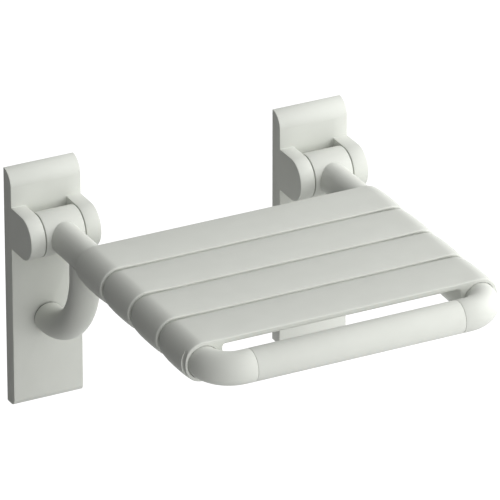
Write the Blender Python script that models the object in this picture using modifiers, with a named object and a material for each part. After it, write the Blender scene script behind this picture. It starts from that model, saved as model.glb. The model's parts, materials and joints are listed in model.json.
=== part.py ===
"""Folding shower seat for a wall.

Two moulded wall brackets stand side by side. Each holds a hinge knuckle between two ears.
The knuckles carry a U-shaped tube frame with four slats, which folds up against the wall.
Two curved stays under the frame bear on the brackets when the seat is down.

X runs along the wall, the wall is the plane y = 0, the seat reaches towards -Y and Z is up.
The origin lies on the wall, midway between the brackets, level with the hinge axis.
"""
import math

import bmesh
import bpy
from mathutils import Matrix, Vector

# Clearance between pieces that touch
FIT = 0.0003

# Wall brackets
BRACKET_PITCH = 0.2984
COVER_WIDTH = 0.0765
COVER_RISE = 0.0605
COVER_DROP = 0.1975
COVER_DEPTH = 0.0167
COVER_WALL = 0.0030
COVER_FOOT_ROUND = 0.0070
COVER_EDGE_ROUND = 0.0006
COVER_RIB = 0.0020
COVER_RIB_COUNT = 3
EAR_THICKNESS = 0.0160
EAR_BORE_RADIUS = 0.0140
HINGE_OUT = 0.0406
KNUCKLE_RADIUS = 0.0226
KNUCKLE_GAP = 0.0008
KNUCKLE_EDGE_ROUND = 0.0006

# Steel mounting plate inside each bracket
PLATE_THICKNESS = 0.0040
PLATE_TOP_GAP = 0.0040
LUG_THICKNESS = 0.0045
LUG_RADIUS = 0.0150
LUG_SIDE_GAP = 0.0010
WALL_HOLE_RADIUS = 0.0045
WALL_HOLE_SPREAD = 0.0440
WALL_HOLE_RISE = 0.0360
TAB_THICKNESS = 0.0030
TAB_REACH = 0.0105
COVER_SCREW_OUT = 0.0070
COVER_SCREW_RADIUS = 0.0015
COVER_SCREW_HEAD_RADIUS = 0.0026
COVER_SCREW_HEAD = 0.0014
COVER_SCREW_POINT = 0.0015

# Hinge
PIN_RADIUS = 0.0060
PIN_END_CHAMFER = 0.0006
BUSH_WALL = 0.0015
BUSH_FLANGE = 0.0015
BUSH_FLANGE_RADIUS = 0.0110
BUSH_LENGTH = 0.0120
BARREL_RADIUS = 0.0150
SPRING_THICKNESS = 0.0012
CLIP_THICKNESS = 0.0012
CLIP_RADIUS = 0.0090
CLIP_OPENING = math.radians(60)
CLIP_GROOVE_DEPTH = 0.0008

# Tube frame: a moulded jacket over a steel core
TUBE_RADIUS = 0.0165
JACKET_WALL = 0.0032
CORE_WALL = 0.0020
ELBOW_RADIUS = 0.0280
ELBOW_STUB = 0.0092
SPIGOT_SCREW_GAP = 0.0023

# Stays
STAY_RADIUS = 0.01575
STAY_OUT = 0.1044
STAY_DROP = 0.1046
STAY_BEND = 0.0840
STAY_JACKET_WALL = 0.0055
STAY_CORE_WALL = 0.0020
BUFFER_THICKNESS = 0.0016
BUFFER_RADIUS = 0.0150
BUFFER_STEM = 0.0060
BUFFER_STEM_GAP = 0.0012

# Slats: a board between two rings that close round the side tubes, crowned from front to back
SLAT_COUNT = 4
SLAT_PITCH = 0.0606
SLAT_GAP = 0.0012
SLAT_STAY_GAP = 0.00415
SLAT_CROWN = 0.0016
CROWN_FLAT = 0.4
RING_SET_BACK = 0.0030
RING_FIT = 0.0005
RING_WALL = 0.0040
RING_PAST_BEND = 0.0022
SLAT_THICKNESS = 0.0090
SLAT_SKIN = 0.0030
SLAT_EDGE_WALL = 0.0040
BOARD_EDGE_ROUND = 0.0040
RING_EDGE_ROUND = 0.0024
UNDERSIDE_EDGE_ROUND = 0.0010
SLAT_SHOULDER = 0.0240
SLAT_FILLET = 0.0030
SLAT_RIB = 0.0020
SLAT_CELLS = 6
RING_LEDGE_DEPTH = 0.0014
RING_LEDGE_LENGTH = 0.0060
RING_LEDGE_LOW = math.radians(-55)
RING_LEDGE_HIGH = math.radians(40)
SLAT_SCREW_RADIUS = 0.0020
SLAT_SCREW_HEAD_RADIUS = 0.0038
SLAT_SCREW_HEAD = 0.0016
SLAT_SCREW_SEAT = 0.0021

# Facets round a full turn: multiples of four, so that pieces which turn a corner still fit inside each other
FINE = 20
MEDIUM = 12
COARSE = 8

# Straight steps along a bend or a rounded edge
COVER_TOP_STEPS = 6
COVER_FOOT_STEPS = 4
EAR_STEPS = 12
LUG_STEPS = 8
CLIP_STEPS = 8
ELBOW_STEPS = 8
SPIGOT_STEPS = 5
STAY_STEPS = 8
STAY_CORE_STEPS = 6
EDGE_STEPS = 2
RING_STEPS = 13
SHOULDER_STEPS = 3
FILLET_STEPS = 2
RING_LEDGE_STEPS = 6

# Sizes that follow from the ones above
HALF_PITCH = BRACKET_PITCH / 2
HALF_WIDTH = COVER_WIDTH / 2
EAR_INNER = HALF_WIDTH - EAR_THICKNESS
KNUCKLE_HALF = EAR_INNER - KNUCKLE_GAP
BARREL_HALF = KNUCKLE_HALF - FIT
BUSH_BORE = PIN_RADIUS + FIT
BUSH_RADIUS = BUSH_BORE + BUSH_WALL
BARREL_BORE = BUSH_RADIUS + FIT
FLANGE_OUTER = BARREL_HALF + FIT + BUSH_FLANGE
LUG_INNER = EAR_INNER + COVER_WALL + LUG_SIDE_GAP
LUG_OUTER = LUG_INNER + LUG_THICKNESS
PIN_HALF = HALF_WIDTH - COVER_WALL - FIT
PLATE_WIDTH = COVER_WIDTH - 2 * COVER_WALL - 2 * FIT
PLATE_BOTTOM = COVER_WALL - COVER_DROP + FIT
COVER_BAY = (COVER_DROP - KNUCKLE_RADIUS) / (COVER_RIB_COUNT + 1)
WALL_HOLE_DROP = KNUCKLE_RADIUS + (COVER_RIB_COUNT - 0.5) * COVER_BAY
JACKET_BORE = TUBE_RADIUS - JACKET_WALL
CORE_RADIUS = JACKET_BORE - FIT
CORE_BORE = CORE_RADIUS - CORE_WALL
SPIGOT_RADIUS = CORE_BORE - FIT
SPIGOT_BORE = SPIGOT_RADIUS - CORE_WALL
RING_BORE = TUBE_RADIUS + RING_FIT
SLAT_HALF = (SLAT_PITCH - SLAT_GAP) / 2
RING_REAR = SLAT_HALF - RING_SET_BACK
SLAT_TOP = RING_BORE + RING_WALL
FIRST_SLAT_OUT = STAY_OUT + STAY_RADIUS + SLAT_STAY_GAP + RING_REAR
LAST_SLAT_OUT = FIRST_SLAT_OUT + (SLAT_COUNT - 1) * SLAT_PITCH
FRONT_BAR_OUT = LAST_SLAT_OUT + SLAT_HALF - RING_PAST_BEND + ELBOW_RADIUS
SIDE_END = FRONT_BAR_OUT - ELBOW_RADIUS - ELBOW_STUB
SPIGOT_LENGTH = SIDE_END - LAST_SLAT_OUT - SLAT_SCREW_RADIUS - SPIGOT_SCREW_GAP
BAR_HALF = HALF_PITCH - ELBOW_RADIUS - ELBOW_STUB
STAY_BORE = STAY_RADIUS - STAY_JACKET_WALL
STAY_CORE_RADIUS = STAY_BORE - FIT
STAY_CORE_BORE = STAY_CORE_RADIUS - STAY_CORE_WALL
STAY_END = COVER_DEPTH + FIT + BUFFER_THICKNESS + FIT
HINGE = Vector((0, -HINGE_OUT, 0))

# Which way the local axes of an extruded outline or a turned profile point
ALONG_X = Matrix(((0, 0, 1), (1, 0, 0), (0, 1, 0))).to_4x4()
ALONG_Y = Matrix(((1, 0, 0), (0, 0, -1), (0, 1, 0))).to_4x4()
ALONG_Z = Matrix.Identity(4)

# Finishes: colour, roughness, metallic
MOULDED_GREY = ((0.60, 0.62, 0.57, 1), 0.45, 0.0)
ZINC_STEEL = ((0.55, 0.56, 0.57, 1), 0.35, 1.0)
BRIGHT_STEEL = ((0.62, 0.62, 0.62, 1), 0.22, 1.0)
SPRING_STEEL = ((0.20, 0.20, 0.21, 1), 0.40, 1.0)
BEARING_PLASTIC = ((0.82, 0.80, 0.72, 1), 0.50, 0.0)
GREY_RUBBER = ((0.16, 0.165, 0.16, 1), 0.80, 0.0)


def clear_scene():
    for obj in list(bpy.data.objects):
        bpy.data.objects.remove(obj, do_unlink=True)


def new_collection(name):
    collection = bpy.data.collections.new(name)
    bpy.context.scene.collection.children.link(collection)
    return collection


def link(name, mesh, matrix, collection):
    obj = bpy.data.objects.new(name, mesh)
    obj.matrix_world = matrix
    collection.objects.link(obj)
    return obj


def as_part(obj, finish, parent=None):
    """Give a piece its own material and, where it moves, the hinge as its parent."""
    colour, roughness, metallic = finish
    material = bpy.data.materials.new(obj.name)
    material.use_nodes = True
    shader = material.node_tree.nodes["Principled BSDF"]
    shader.inputs["Base Color"].default_value = colour
    shader.inputs["Roughness"].default_value = roughness
    shader.inputs["Metallic"].default_value = metallic
    obj.data.materials.clear()
    obj.data.materials.append(material)
    if parent is not None:
        place = obj.matrix_world.copy()
        obj.parent = parent
        obj.matrix_parent_inverse = Matrix.Translation(parent.location).inverted()
        obj.matrix_basis = place
    return obj


def as_cutter(obj):
    obj.hide_render = True
    obj.display_type = "WIRE"
    return obj


def shade_round(mesh):
    mesh.shade_smooth()
    mesh.set_sharp_from_angle(angle=math.radians(35))


def mesh_object(name, bm, collection, matrix=ALONG_Z):
    mesh = bpy.data.meshes.new(name)
    bm.to_mesh(mesh)
    bm.free()
    shade_round(mesh)
    return link(name, mesh, matrix, collection)


def box(name, low, high, collection):
    """A block between two corners."""
    bm = bmesh.new()
    bmesh.ops.create_cube(bm, size=1)
    low = Vector(low)
    high = Vector(high)
    bmesh.ops.scale(bm, vec=high - low, verts=bm.verts)
    bmesh.ops.translate(bm, vec=(low + high) / 2, verts=bm.verts)
    return mesh_object(name, bm, collection)


def half_facet(sides):
    """Spin that keeps a round piece's edges away from the edges of the tube that it crosses."""
    return math.pi / sides


def add_rod(bm, radius, start, end, sides, spin=0.0):
    start = Vector(start)
    end = Vector(end)
    turn = (end - start).to_track_quat("Z", "Y").to_matrix().to_4x4() @ Matrix.Rotation(spin, 4, "Z")
    bmesh.ops.create_cone(
        bm, cap_ends=True, segments=sides, radius1=radius, radius2=radius, depth=(end - start).length,
        matrix=Matrix.Translation((start + end) / 2) @ turn)


def rod(name, radius, start, end, sides, collection, spin=0.0):
    """A round bar between two points."""
    bm = bmesh.new()
    add_rod(bm, radius, start, end, sides, spin)
    return mesh_object(name, bm, collection)


def rods(name, radius, ends, sides, collection, spin=0.0):
    """Several like round bars in one object, none touching another, each spun about its own axis."""
    bm = bmesh.new()
    for start, end in ends:
        add_rod(bm, radius, start, end, sides, spin)
    return mesh_object(name, bm, collection)


def turned(name, profile, sides, matrix, collection):
    """A profile of (radius, height) points, turned round the local Z axis.

    It runs down its outer side. A profile that leaves the axis open is closed on itself.
    """
    bm = bmesh.new()
    verts = [bm.verts.new((radius, 0, height)) for radius, height in profile]
    pairs = list(zip(verts, verts[1:]))
    if profile[0][0] > 0:
        pairs.append((verts[-1], verts[0]))
    for pair in pairs:
        bm.edges.new(pair)
    mesh = bpy.data.meshes.new(name)
    bm.to_mesh(mesh)
    bm.free()
    obj = link(name, mesh, matrix, collection)
    screw = obj.modifiers.new("turn", "SCREW")
    screw.axis = "Z"
    screw.angle = math.tau
    screw.steps = sides
    screw.render_steps = sides
    screw.use_merge_vertices = True
    screw.merge_threshold = 0.00001
    screw.use_smooth_shade = True
    return obj


def curve_to_mesh(curve_obj, collection):
    """Swap a curve object for a closed mesh of the same name and place."""
    bpy.context.view_layer.update()
    evaluated = curve_obj.evaluated_get(bpy.context.evaluated_depsgraph_get())
    mesh = bpy.data.meshes.new_from_object(evaluated)
    bm = bmesh.new()
    bm.from_mesh(mesh)
    bmesh.ops.remove_doubles(bm, verts=bm.verts, dist=0.000001)
    bmesh.ops.recalc_face_normals(bm, faces=bm.faces)
    bm.to_mesh(mesh)
    bm.free()
    shade_round(mesh)
    name = curve_obj.name
    matrix = curve_obj.matrix_world.copy()
    bpy.data.objects.remove(curve_obj, do_unlink=True)
    return link(name, mesh, matrix, collection)


def tube(name, route, radius, sides, collection, spin=0.0):
    """A round bar along a route of points."""
    data = bpy.data.curves.new(name, "CURVE")
    data.dimensions = "3D"
    data.bevel_depth = radius
    data.bevel_resolution = sides // 2 - 2
    data.use_fill_caps = True
    spline = data.splines.new("POLY")
    spline.points.add(len(route) - 1)
    for point, place in zip(spline.points, route):
        point.co = (place[0], place[1], place[2], 1)
        point.tilt = spin
    obj = link(name, data, ALONG_Z, collection)
    return curve_to_mesh(obj, collection)


def flat_piece(name, outline, thickness, matrix, collection):
    """A flat outline of 2D points, as thick as asked and centred on its plane."""
    data = bpy.data.curves.new(name, "CURVE")
    data.dimensions = "2D"
    data.fill_mode = "BOTH"
    data.extrude = thickness / 2
    spline = data.splines.new("POLY")
    spline.points.add(len(outline) - 1)
    for point, place in zip(spline.points, outline):
        point.co = (place[0], place[1], 0, 1)
    spline.use_cyclic_u = True
    obj = link(name, data, matrix, collection)
    return curve_to_mesh(obj, collection)


def combine(obj, operation, others):
    for other in others:
        boolean = obj.modifiers.new(other.name, "BOOLEAN")
        boolean.operation = operation
        boolean.object = other
        boolean.solver = "EXACT"
    return obj


def cut(obj, *cutters):
    return combine(obj, "DIFFERENCE", cutters)


def join(obj, *others):
    return combine(obj, "UNION", others)


def bevel(obj, width, angle, segments):
    modifier = obj.modifiers.new("edge round", "BEVEL")
    modifier.width = width
    modifier.segments = segments
    modifier.limit_method = "ANGLE"
    modifier.angle_limit = math.radians(angle)
    return obj


def arc(centre, radius, start, end, steps):
    """Points of a circular arc, angles in degrees, both ends included."""
    points = []
    for step in range(steps + 1):
        angle = math.radians(start + (end - start) * step / steps)
        points.append((centre[0] + radius * math.cos(angle), centre[1] + radius * math.sin(angle)))
    return points


def cover_outline(inset, with_ears):
    """Side view of the cover in (y, z): a slab that curves back to the wall at its top.

    The ears' round nose stands out of it, level with the hinge axis.
    """
    depth = COVER_DEPTH - inset
    foot = COVER_FOOT_ROUND - inset
    bottom = inset - COVER_DROP
    points = arc((0, COVER_RISE - COVER_DEPTH), depth, 90, 180, COVER_TOP_STEPS)
    if with_ears:
        points += [(-depth, KNUCKLE_RADIUS)]
        points += arc((-HINGE_OUT, 0), KNUCKLE_RADIUS, 90, 270, EAR_STEPS)
        points += [(-depth, -KNUCKLE_RADIUS)]
    points += arc((foot - depth, bottom + foot), foot, 180, 270, COVER_FOOT_STEPS)
    return points + [(0, bottom)]


def nose_outline(radius, back):
    """Side view of an ear or lug in (y, z): a bar with a round nose about the hinge axis."""
    return arc((-HINGE_OUT, 0), radius, 90, 270, LUG_STEPS) + [(back, -radius), (back, radius)]


def at_x(x):
    return Matrix.Translation((x, 0, 0)) @ ALONG_X


def wall_cover(side, x, parts, cutters):
    """Moulded cover of a bracket, open at the wall, with two hollow ears."""
    cover = flat_piece(side + "_wall_cover", cover_outline(0, True), COVER_WIDTH, at_x(x), parts)
    reach = HINGE_OUT + 2 * KNUCKLE_RADIUS
    slot = box(side + "_ear_slot", (x - EAR_INNER, -reach, -2 * KNUCKLE_RADIUS),
               (x + EAR_INNER, -COVER_DEPTH, 2 * KNUCKLE_RADIUS), cutters)
    cut(cover, as_cutter(slot))
    bevel(cover, COVER_EDGE_ROUND, 50, 1)
    hollow_width = COVER_WIDTH - 2 * COVER_WALL
    outline = cover_outline(COVER_WALL, False)
    hollow = flat_piece(side + "_cover_hollow", outline, hollow_width, at_x(x), cutters)
    past_wall = box(side + "_cover_mouth", (x - hollow_width / 2, -COVER_WALL, COVER_WALL - COVER_DROP),
                    (x + hollow_width / 2, COVER_WALL, COVER_RISE - 2 * COVER_WALL), cutters)
    pockets = []
    for way in (-1, 1):
        name = side + ("_inner_ear_pocket" if way * x < 0 else "_outer_ear_pocket")
        middle = x + way * (HALF_WIDTH - EAR_THICKNESS / 2)
        outline = nose_outline(KNUCKLE_RADIUS - COVER_WALL, -COVER_WALL)
        pockets.append(flat_piece(name, outline, EAR_THICKNESS - 2 * COVER_WALL, at_x(middle), cutters))
    bore_half = EAR_INNER + 2 * COVER_WALL
    bore = rod(side + "_ear_bore", EAR_BORE_RADIUS, (x - bore_half, -HINGE_OUT, 0),
               (x + bore_half, -HINGE_OUT, 0), MEDIUM, cutters)
    screw = rod(side + "_cover_screw_hole", COVER_SCREW_RADIUS + FIT,
                (x, -COVER_SCREW_OUT, -COVER_DROP - FIT),
                (x, -COVER_SCREW_OUT, -COVER_DROP + 2 * COVER_WALL), COARSE, cutters)
    recess = rod(side + "_cover_screw_recess", COVER_SCREW_HEAD_RADIUS + FIT,
                 (x, -COVER_SCREW_OUT, -COVER_DROP - COVER_SCREW_HEAD),
                 (x, -COVER_SCREW_OUT, -COVER_DROP + COVER_SCREW_HEAD), COARSE, cutters)
    for cutter in [hollow, past_wall, *pockets, bore, screw, recess]:
        cut(cover, as_cutter(cutter))
    for number in range(1, COVER_RIB_COUNT + 1):
        height = -KNUCKLE_RADIUS - number * COVER_BAY
        rib = box(side + "_cover_rib_%d" % number,
                  (x - HALF_WIDTH + COVER_WALL / 2, COVER_WALL / 2 - COVER_DEPTH, height - COVER_RIB / 2),
                  (x + HALF_WIDTH - COVER_WALL / 2, -PLATE_THICKNESS - FIT, height + COVER_RIB / 2), cutters)
        join(cover, as_cutter(rib))
    return as_part(cover, MOULDED_GREY)


def mounting_plate(side, x, parts, cutters):
    """Steel plate behind the cover, with two lugs for the hinge pin and a tab for the cover's screw."""
    top = COVER_RISE - COVER_WALL - PLATE_TOP_GAP
    plate = box(side + "_mounting_plate", (x - PLATE_WIDTH / 2, -PLATE_THICKNESS, PLATE_BOTTOM),
                (x + PLATE_WIDTH / 2, 0, top), parts)
    tab = box(side + "_plate_tab", (x - PLATE_WIDTH / 4, -TAB_REACH, PLATE_BOTTOM),
              (x + PLATE_WIDTH / 4, -PLATE_THICKNESS / 2, PLATE_BOTTOM + TAB_THICKNESS), cutters)
    join(plate, as_cutter(tab))
    for way in (-1, 1):
        name = side + ("_inner_lug" if way * x < 0 else "_outer_lug")
        middle = x + way * (LUG_INNER + LUG_OUTER) / 2
        outline = nose_outline(LUG_RADIUS, -PLATE_THICKNESS / 2)
        join(plate, as_cutter(flat_piece(name, outline, LUG_THICKNESS, at_x(middle), cutters)))
    pin_hole = rod(side + "_pin_hole", PIN_RADIUS + FIT, (x - HALF_WIDTH, -HINGE_OUT, 0),
                   (x + HALF_WIDTH, -HINGE_OUT, 0), MEDIUM, cutters)
    heights = (WALL_HOLE_RISE, -WALL_HOLE_DROP)
    spots = [(x + way * WALL_HOLE_SPREAD / 2, height) for way in (-1, 1) for height in heights]
    ends = [((spot, -2 * PLATE_THICKNESS, height), (spot, PLATE_THICKNESS, height)) for spot, height in spots]
    wall_holes = rods(side + "_wall_screw_holes", WALL_HOLE_RADIUS, ends, COARSE, cutters)
    tapped = rod(side + "_tab_hole", COVER_SCREW_RADIUS + FIT,
                 (x, -COVER_SCREW_OUT, PLATE_BOTTOM - TAB_THICKNESS),
                 (x, -COVER_SCREW_OUT, PLATE_BOTTOM + 2 * TAB_THICKNESS), COARSE, cutters)
    for cutter in (pin_hole, wall_holes, tapped):
        cut(plate, as_cutter(cutter))
    return as_part(plate, ZINC_STEEL)


def hinge_pin(side, x, parts):
    """Pin through both lugs, with a groove near each end for its clip."""
    groove = PIN_RADIUS - CLIP_GROOVE_DEPTH
    groove_end = LUG_OUTER + 2 * FIT + CLIP_THICKNESS
    half = [(0, PIN_HALF), (PIN_RADIUS - PIN_END_CHAMFER, PIN_HALF), (PIN_RADIUS, PIN_HALF - PIN_END_CHAMFER),
            (PIN_RADIUS, groove_end), (groove, groove_end), (groove, LUG_OUTER), (PIN_RADIUS, LUG_OUTER)]
    profile = half + [(radius, -height) for radius, height in reversed(half)]
    place = Matrix.Translation((x, -HINGE_OUT, 0)) @ ALONG_X
    return as_part(turned(side + "_hinge_pin", profile, MEDIUM, place, parts), BRIGHT_STEEL)


def pin_clip(name, x, way, parts):
    """Open spring ring that snaps into the pin's groove."""
    inner = PIN_RADIUS - CLIP_GROOVE_DEPTH + FIT
    start = 90 + math.degrees(CLIP_OPENING) / 2
    end = 450 - math.degrees(CLIP_OPENING) / 2
    centre = (-HINGE_OUT, 0)
    outline = arc(centre, CLIP_RADIUS, start, end, CLIP_STEPS) + arc(centre, inner, end, start, CLIP_STEPS)
    middle = x + way * (LUG_OUTER + FIT + CLIP_THICKNESS / 2)
    return as_part(flat_piece(name, outline, CLIP_THICKNESS, at_x(middle), parts), SPRING_STEEL)


def cover_screw(side, x, parts):
    """Small screw up through the foot of the cover into the plate's tab."""
    head_top = -COVER_DROP + COVER_SCREW_HEAD - FIT
    point = PLATE_BOTTOM + TAB_THICKNESS + COVER_SCREW_POINT
    profile = [(0, point), (COVER_SCREW_RADIUS, point), (COVER_SCREW_RADIUS, head_top),
               (COVER_SCREW_HEAD_RADIUS, head_top), (COVER_SCREW_HEAD_RADIUS, -COVER_DROP), (0, -COVER_DROP)]
    place = Matrix.Translation((x, -COVER_SCREW_OUT, 0))
    return as_part(turned(side + "_cover_screw", profile, COARSE, place, parts), ZINC_STEEL)


def disc_spring(name, x, way, parts):
    """Coned washer between a bush flange and a lug, which loads the hinge with friction."""
    low = FLANGE_OUTER + FIT
    high = LUG_INNER - FIT
    rise = high - low - SPRING_THICKNESS
    bore = PIN_RADIUS + FIT
    profile = [(bore, low + SPRING_THICKNESS), (BUSH_FLANGE_RADIUS, low + rise + SPRING_THICKNESS),
               (BUSH_FLANGE_RADIUS, low + rise), (bore, low)]
    place = Matrix.Translation((x, -HINGE_OUT, 0)) @ ALONG_X
    if way < 0:
        place = place @ Matrix.Rotation(math.pi, 4, "X")
    return as_part(turned(name, profile, MEDIUM, place, parts), SPRING_STEEL)


def hinge_bush(name, x, way, parts, hinge):
    """Flanged plain bearing pressed into the end of the knuckle's barrel."""
    flange_low = BARREL_HALF + FIT
    low = flange_low - BUSH_LENGTH
    profile = [(BUSH_BORE, FLANGE_OUTER), (BUSH_FLANGE_RADIUS, FLANGE_OUTER),
               (BUSH_FLANGE_RADIUS, flange_low), (BUSH_RADIUS, flange_low), (BUSH_RADIUS, low),
               (BUSH_BORE, low)]
    place = Matrix.Translation((x, -HINGE_OUT, 0)) @ ALONG_X
    if way < 0:
        place = place @ Matrix.Rotation(math.pi, 4, "X")
    return as_part(turned(name, profile, MEDIUM, place, parts), BEARING_PLASTIC, hinge)


def knuckle(side, x, parts, cutters, hinge):
    """Moulded hub between the ears and the steel barrel inside it."""
    edge = KNUCKLE_EDGE_ROUND
    rim = KNUCKLE_RADIUS - edge
    bore = BARREL_RADIUS + FIT
    profile = [(bore, KNUCKLE_HALF), (rim, KNUCKLE_HALF), (KNUCKLE_RADIUS, KNUCKLE_HALF - edge),
               (KNUCKLE_RADIUS, edge - KNUCKLE_HALF), (rim, -KNUCKLE_HALF), (bore, -KNUCKLE_HALF)]
    place = Matrix.Translation((x, -HINGE_OUT, 0)) @ ALONG_X
    hub = turned(side + "_hub", profile, FINE, place, parts)
    way_in = rod(side + "_hub_tube_hole", CORE_RADIUS + FIT, (x, -HINGE_OUT, 0),
                 (x, -HINGE_OUT - 2 * KNUCKLE_RADIUS, 0), MEDIUM, cutters)
    cut(hub, as_cutter(way_in))
    barrel = turned(side + "_hub_barrel", [(BARREL_BORE, BARREL_HALF), (BARREL_RADIUS, BARREL_HALF),
                    (BARREL_RADIUS, -BARREL_HALF), (BARREL_BORE, -BARREL_HALF)], MEDIUM, place, parts)
    as_part(hub, MOULDED_GREY, hinge)
    as_part(barrel, ZINC_STEEL, hinge)


def elbow_route(side_sign, reach, steps):
    """From the side tube, round the front corner, to the front bar; reach goes past both ends."""
    x = side_sign * HALF_PITCH
    centre = (HALF_PITCH - ELBOW_RADIUS, ELBOW_RADIUS - FRONT_BAR_OUT)
    route = [(x, reach - SIDE_END, 0)]
    route += [(side_sign * px, py, 0) for px, py in arc(centre, ELBOW_RADIUS, 0, -90, steps)]
    route += [(side_sign * (BAR_HALF - reach), -FRONT_BAR_OUT, 0)]
    return route


def side_tube(side, x, parts, cutters, hinge, screw_holes):
    """Moulded sleeve and steel tube from the knuckle to the elbow."""
    start = (x, -HINGE_OUT, 0)
    end = (x, FIT / 2 - SIDE_END, 0)
    past = (x, -SIDE_END - 2 * ELBOW_STUB, 0)
    sleeve = rod(side + "_side_sleeve", TUBE_RADIUS, start, end, FINE, parts)
    core = rod(side + "_side_tube", CORE_RADIUS, start, end, MEDIUM, parts)
    half = 2 * KNUCKLE_HALF
    around_hub = rod(side + "_sleeve_saddle", KNUCKLE_RADIUS + FIT, (x - half, -HINGE_OUT, 0),
                     (x + half, -HINGE_OUT, 0), FINE, cutters)
    around_barrel = rod(side + "_tube_saddle", BARREL_RADIUS + FIT, (x - half, -HINGE_OUT, 0),
                        (x + half, -HINGE_OUT, 0), FINE, cutters)
    sleeve_bore = rod(side + "_sleeve_bore", JACKET_BORE, (x, 0, 0), past, MEDIUM, cutters)
    core_bore = rod(side + "_tube_bore", CORE_BORE, (x, 0, 0), past, MEDIUM, cutters)
    stay_hole = rod(side + "_stay_hole", STAY_CORE_RADIUS + FIT, (x, -STAY_OUT, 0),
                    (x, -STAY_OUT, -2 * TUBE_RADIUS), MEDIUM, cutters, half_facet(MEDIUM))
    for cutter in (around_hub, sleeve_bore, stay_hole):
        cut(sleeve, as_cutter(cutter))
    for cutter in (around_barrel, core_bore):
        cut(core, as_cutter(cutter))
    cut(sleeve, screw_holes)
    cut(core, screw_holes)
    as_part(sleeve, MOULDED_GREY, hinge)
    as_part(core, ZINC_STEEL, hinge)


def elbow(side, side_sign, parts, cutters, hinge):
    """Moulded front corner and the bent steel tube that plugs into its neighbours."""
    shell = tube(side + "_elbow", elbow_route(side_sign, -FIT / 2, ELBOW_STEPS), TUBE_RADIUS, FINE, parts)
    inner = elbow_route(side_sign, SPIGOT_LENGTH, SPIGOT_STEPS)
    past = elbow_route(side_sign, 2 * SPIGOT_LENGTH, SPIGOT_STEPS)
    bore = tube(side + "_elbow_bore", inner, SPIGOT_RADIUS + FIT, MEDIUM, cutters)
    spigot = tube(side + "_elbow_spigot", inner, SPIGOT_RADIUS, MEDIUM, parts)
    spigot_bore = tube(side + "_spigot_bore", past, SPIGOT_BORE, COARSE, cutters)
    cut(shell, as_cutter(bore))
    cut(spigot, as_cutter(spigot_bore))
    as_part(shell, MOULDED_GREY, hinge)
    as_part(spigot, ZINC_STEEL, hinge)


def front_bar(parts, cutters, hinge):
    """Straight front of the frame: a sleeve over a steel tube."""
    half = BAR_HALF - FIT / 2
    start = (-half, -FRONT_BAR_OUT, 0)
    end = (half, -FRONT_BAR_OUT, 0)
    before = (-2 * half, -FRONT_BAR_OUT, 0)
    past = (2 * half, -FRONT_BAR_OUT, 0)
    sleeve = rod("front_bar_sleeve", TUBE_RADIUS, start, end, FINE, parts)
    core = rod("front_bar_tube", CORE_RADIUS, start, end, MEDIUM, parts)
    cut(sleeve, as_cutter(rod("front_sleeve_bore", JACKET_BORE, before, past, MEDIUM, cutters)))
    cut(core, as_cutter(rod("front_tube_bore", CORE_BORE, before, past, MEDIUM, cutters)))
    as_part(sleeve, MOULDED_GREY, hinge)
    as_part(core, ZINC_STEEL, hinge)


def stay_route(x, top, end, steps):
    """Down from the side tube and back towards the wall."""
    centre = (STAY_BEND - STAY_OUT, STAY_BEND - STAY_DROP)
    route = [(x, -STAY_OUT, top)]
    route += [(x, y, z) for y, z in arc(centre, STAY_BEND, 180, 270, steps)]
    route += [(x, -end, -STAY_DROP)]
    return route


def stay(side, x, parts, cutters, hinge):
    """Curved stay: a moulded jacket over a bent steel tube, with a rubber buffer at the wall bracket."""
    inner = stay_route(x, 0, STAY_END, STAY_CORE_STEPS)
    past = stay_route(x, STAY_RADIUS, 0, STAY_CORE_STEPS)
    outer = stay_route(x, 0, STAY_END, STAY_STEPS)
    jacket = tube(side + "_stay", outer, STAY_RADIUS, FINE, parts, half_facet(FINE))
    bore = tube(side + "_stay_bore", past, STAY_BORE, MEDIUM, cutters, half_facet(MEDIUM))
    core = tube(side + "_stay_tube", inner, STAY_CORE_RADIUS, MEDIUM, parts, half_facet(MEDIUM))
    core_bore = tube(side + "_stay_tube_bore", past, STAY_CORE_BORE, COARSE, cutters, half_facet(COARSE))
    along = [(x, -STAY_OUT - 2 * STAY_RADIUS, 0), (x, -STAY_OUT + 2 * STAY_RADIUS, 0)]
    over_sleeve = rod(side + "_stay_saddle", TUBE_RADIUS + FIT, *along, FINE, cutters)
    over_tube = rod(side + "_stay_tube_saddle", CORE_RADIUS + FIT, *along, MEDIUM, cutters)
    cut(jacket, as_cutter(bore), as_cutter(over_sleeve))
    cut(core, as_cutter(core_bore), as_cutter(over_tube))
    stem = STAY_CORE_BORE - BUFFER_STEM_GAP
    face = -COVER_DEPTH - FIT
    back = face - BUFFER_THICKNESS
    profile = [(0, face), (BUFFER_RADIUS, face), (BUFFER_RADIUS, back), (stem, back),
               (stem, back - BUFFER_STEM), (0, back - BUFFER_STEM)]
    place = Matrix.Translation((x, 0, -STAY_DROP)) @ Matrix.Rotation(-math.pi / 2, 4, "X")
    buffer = turned(side + "_stay_buffer", profile, MEDIUM, place, parts)
    as_part(jacket, MOULDED_GREY, hinge)
    as_part(core, ZINC_STEEL, hinge)
    as_part(buffer, GREY_RUBBER, hinge)


def slat_middles():
    """The y of the middle of each slat, from the wall outwards."""
    return [-FIRST_SLAT_OUT - index * SLAT_PITCH for index in range(SLAT_COUNT)]


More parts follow.
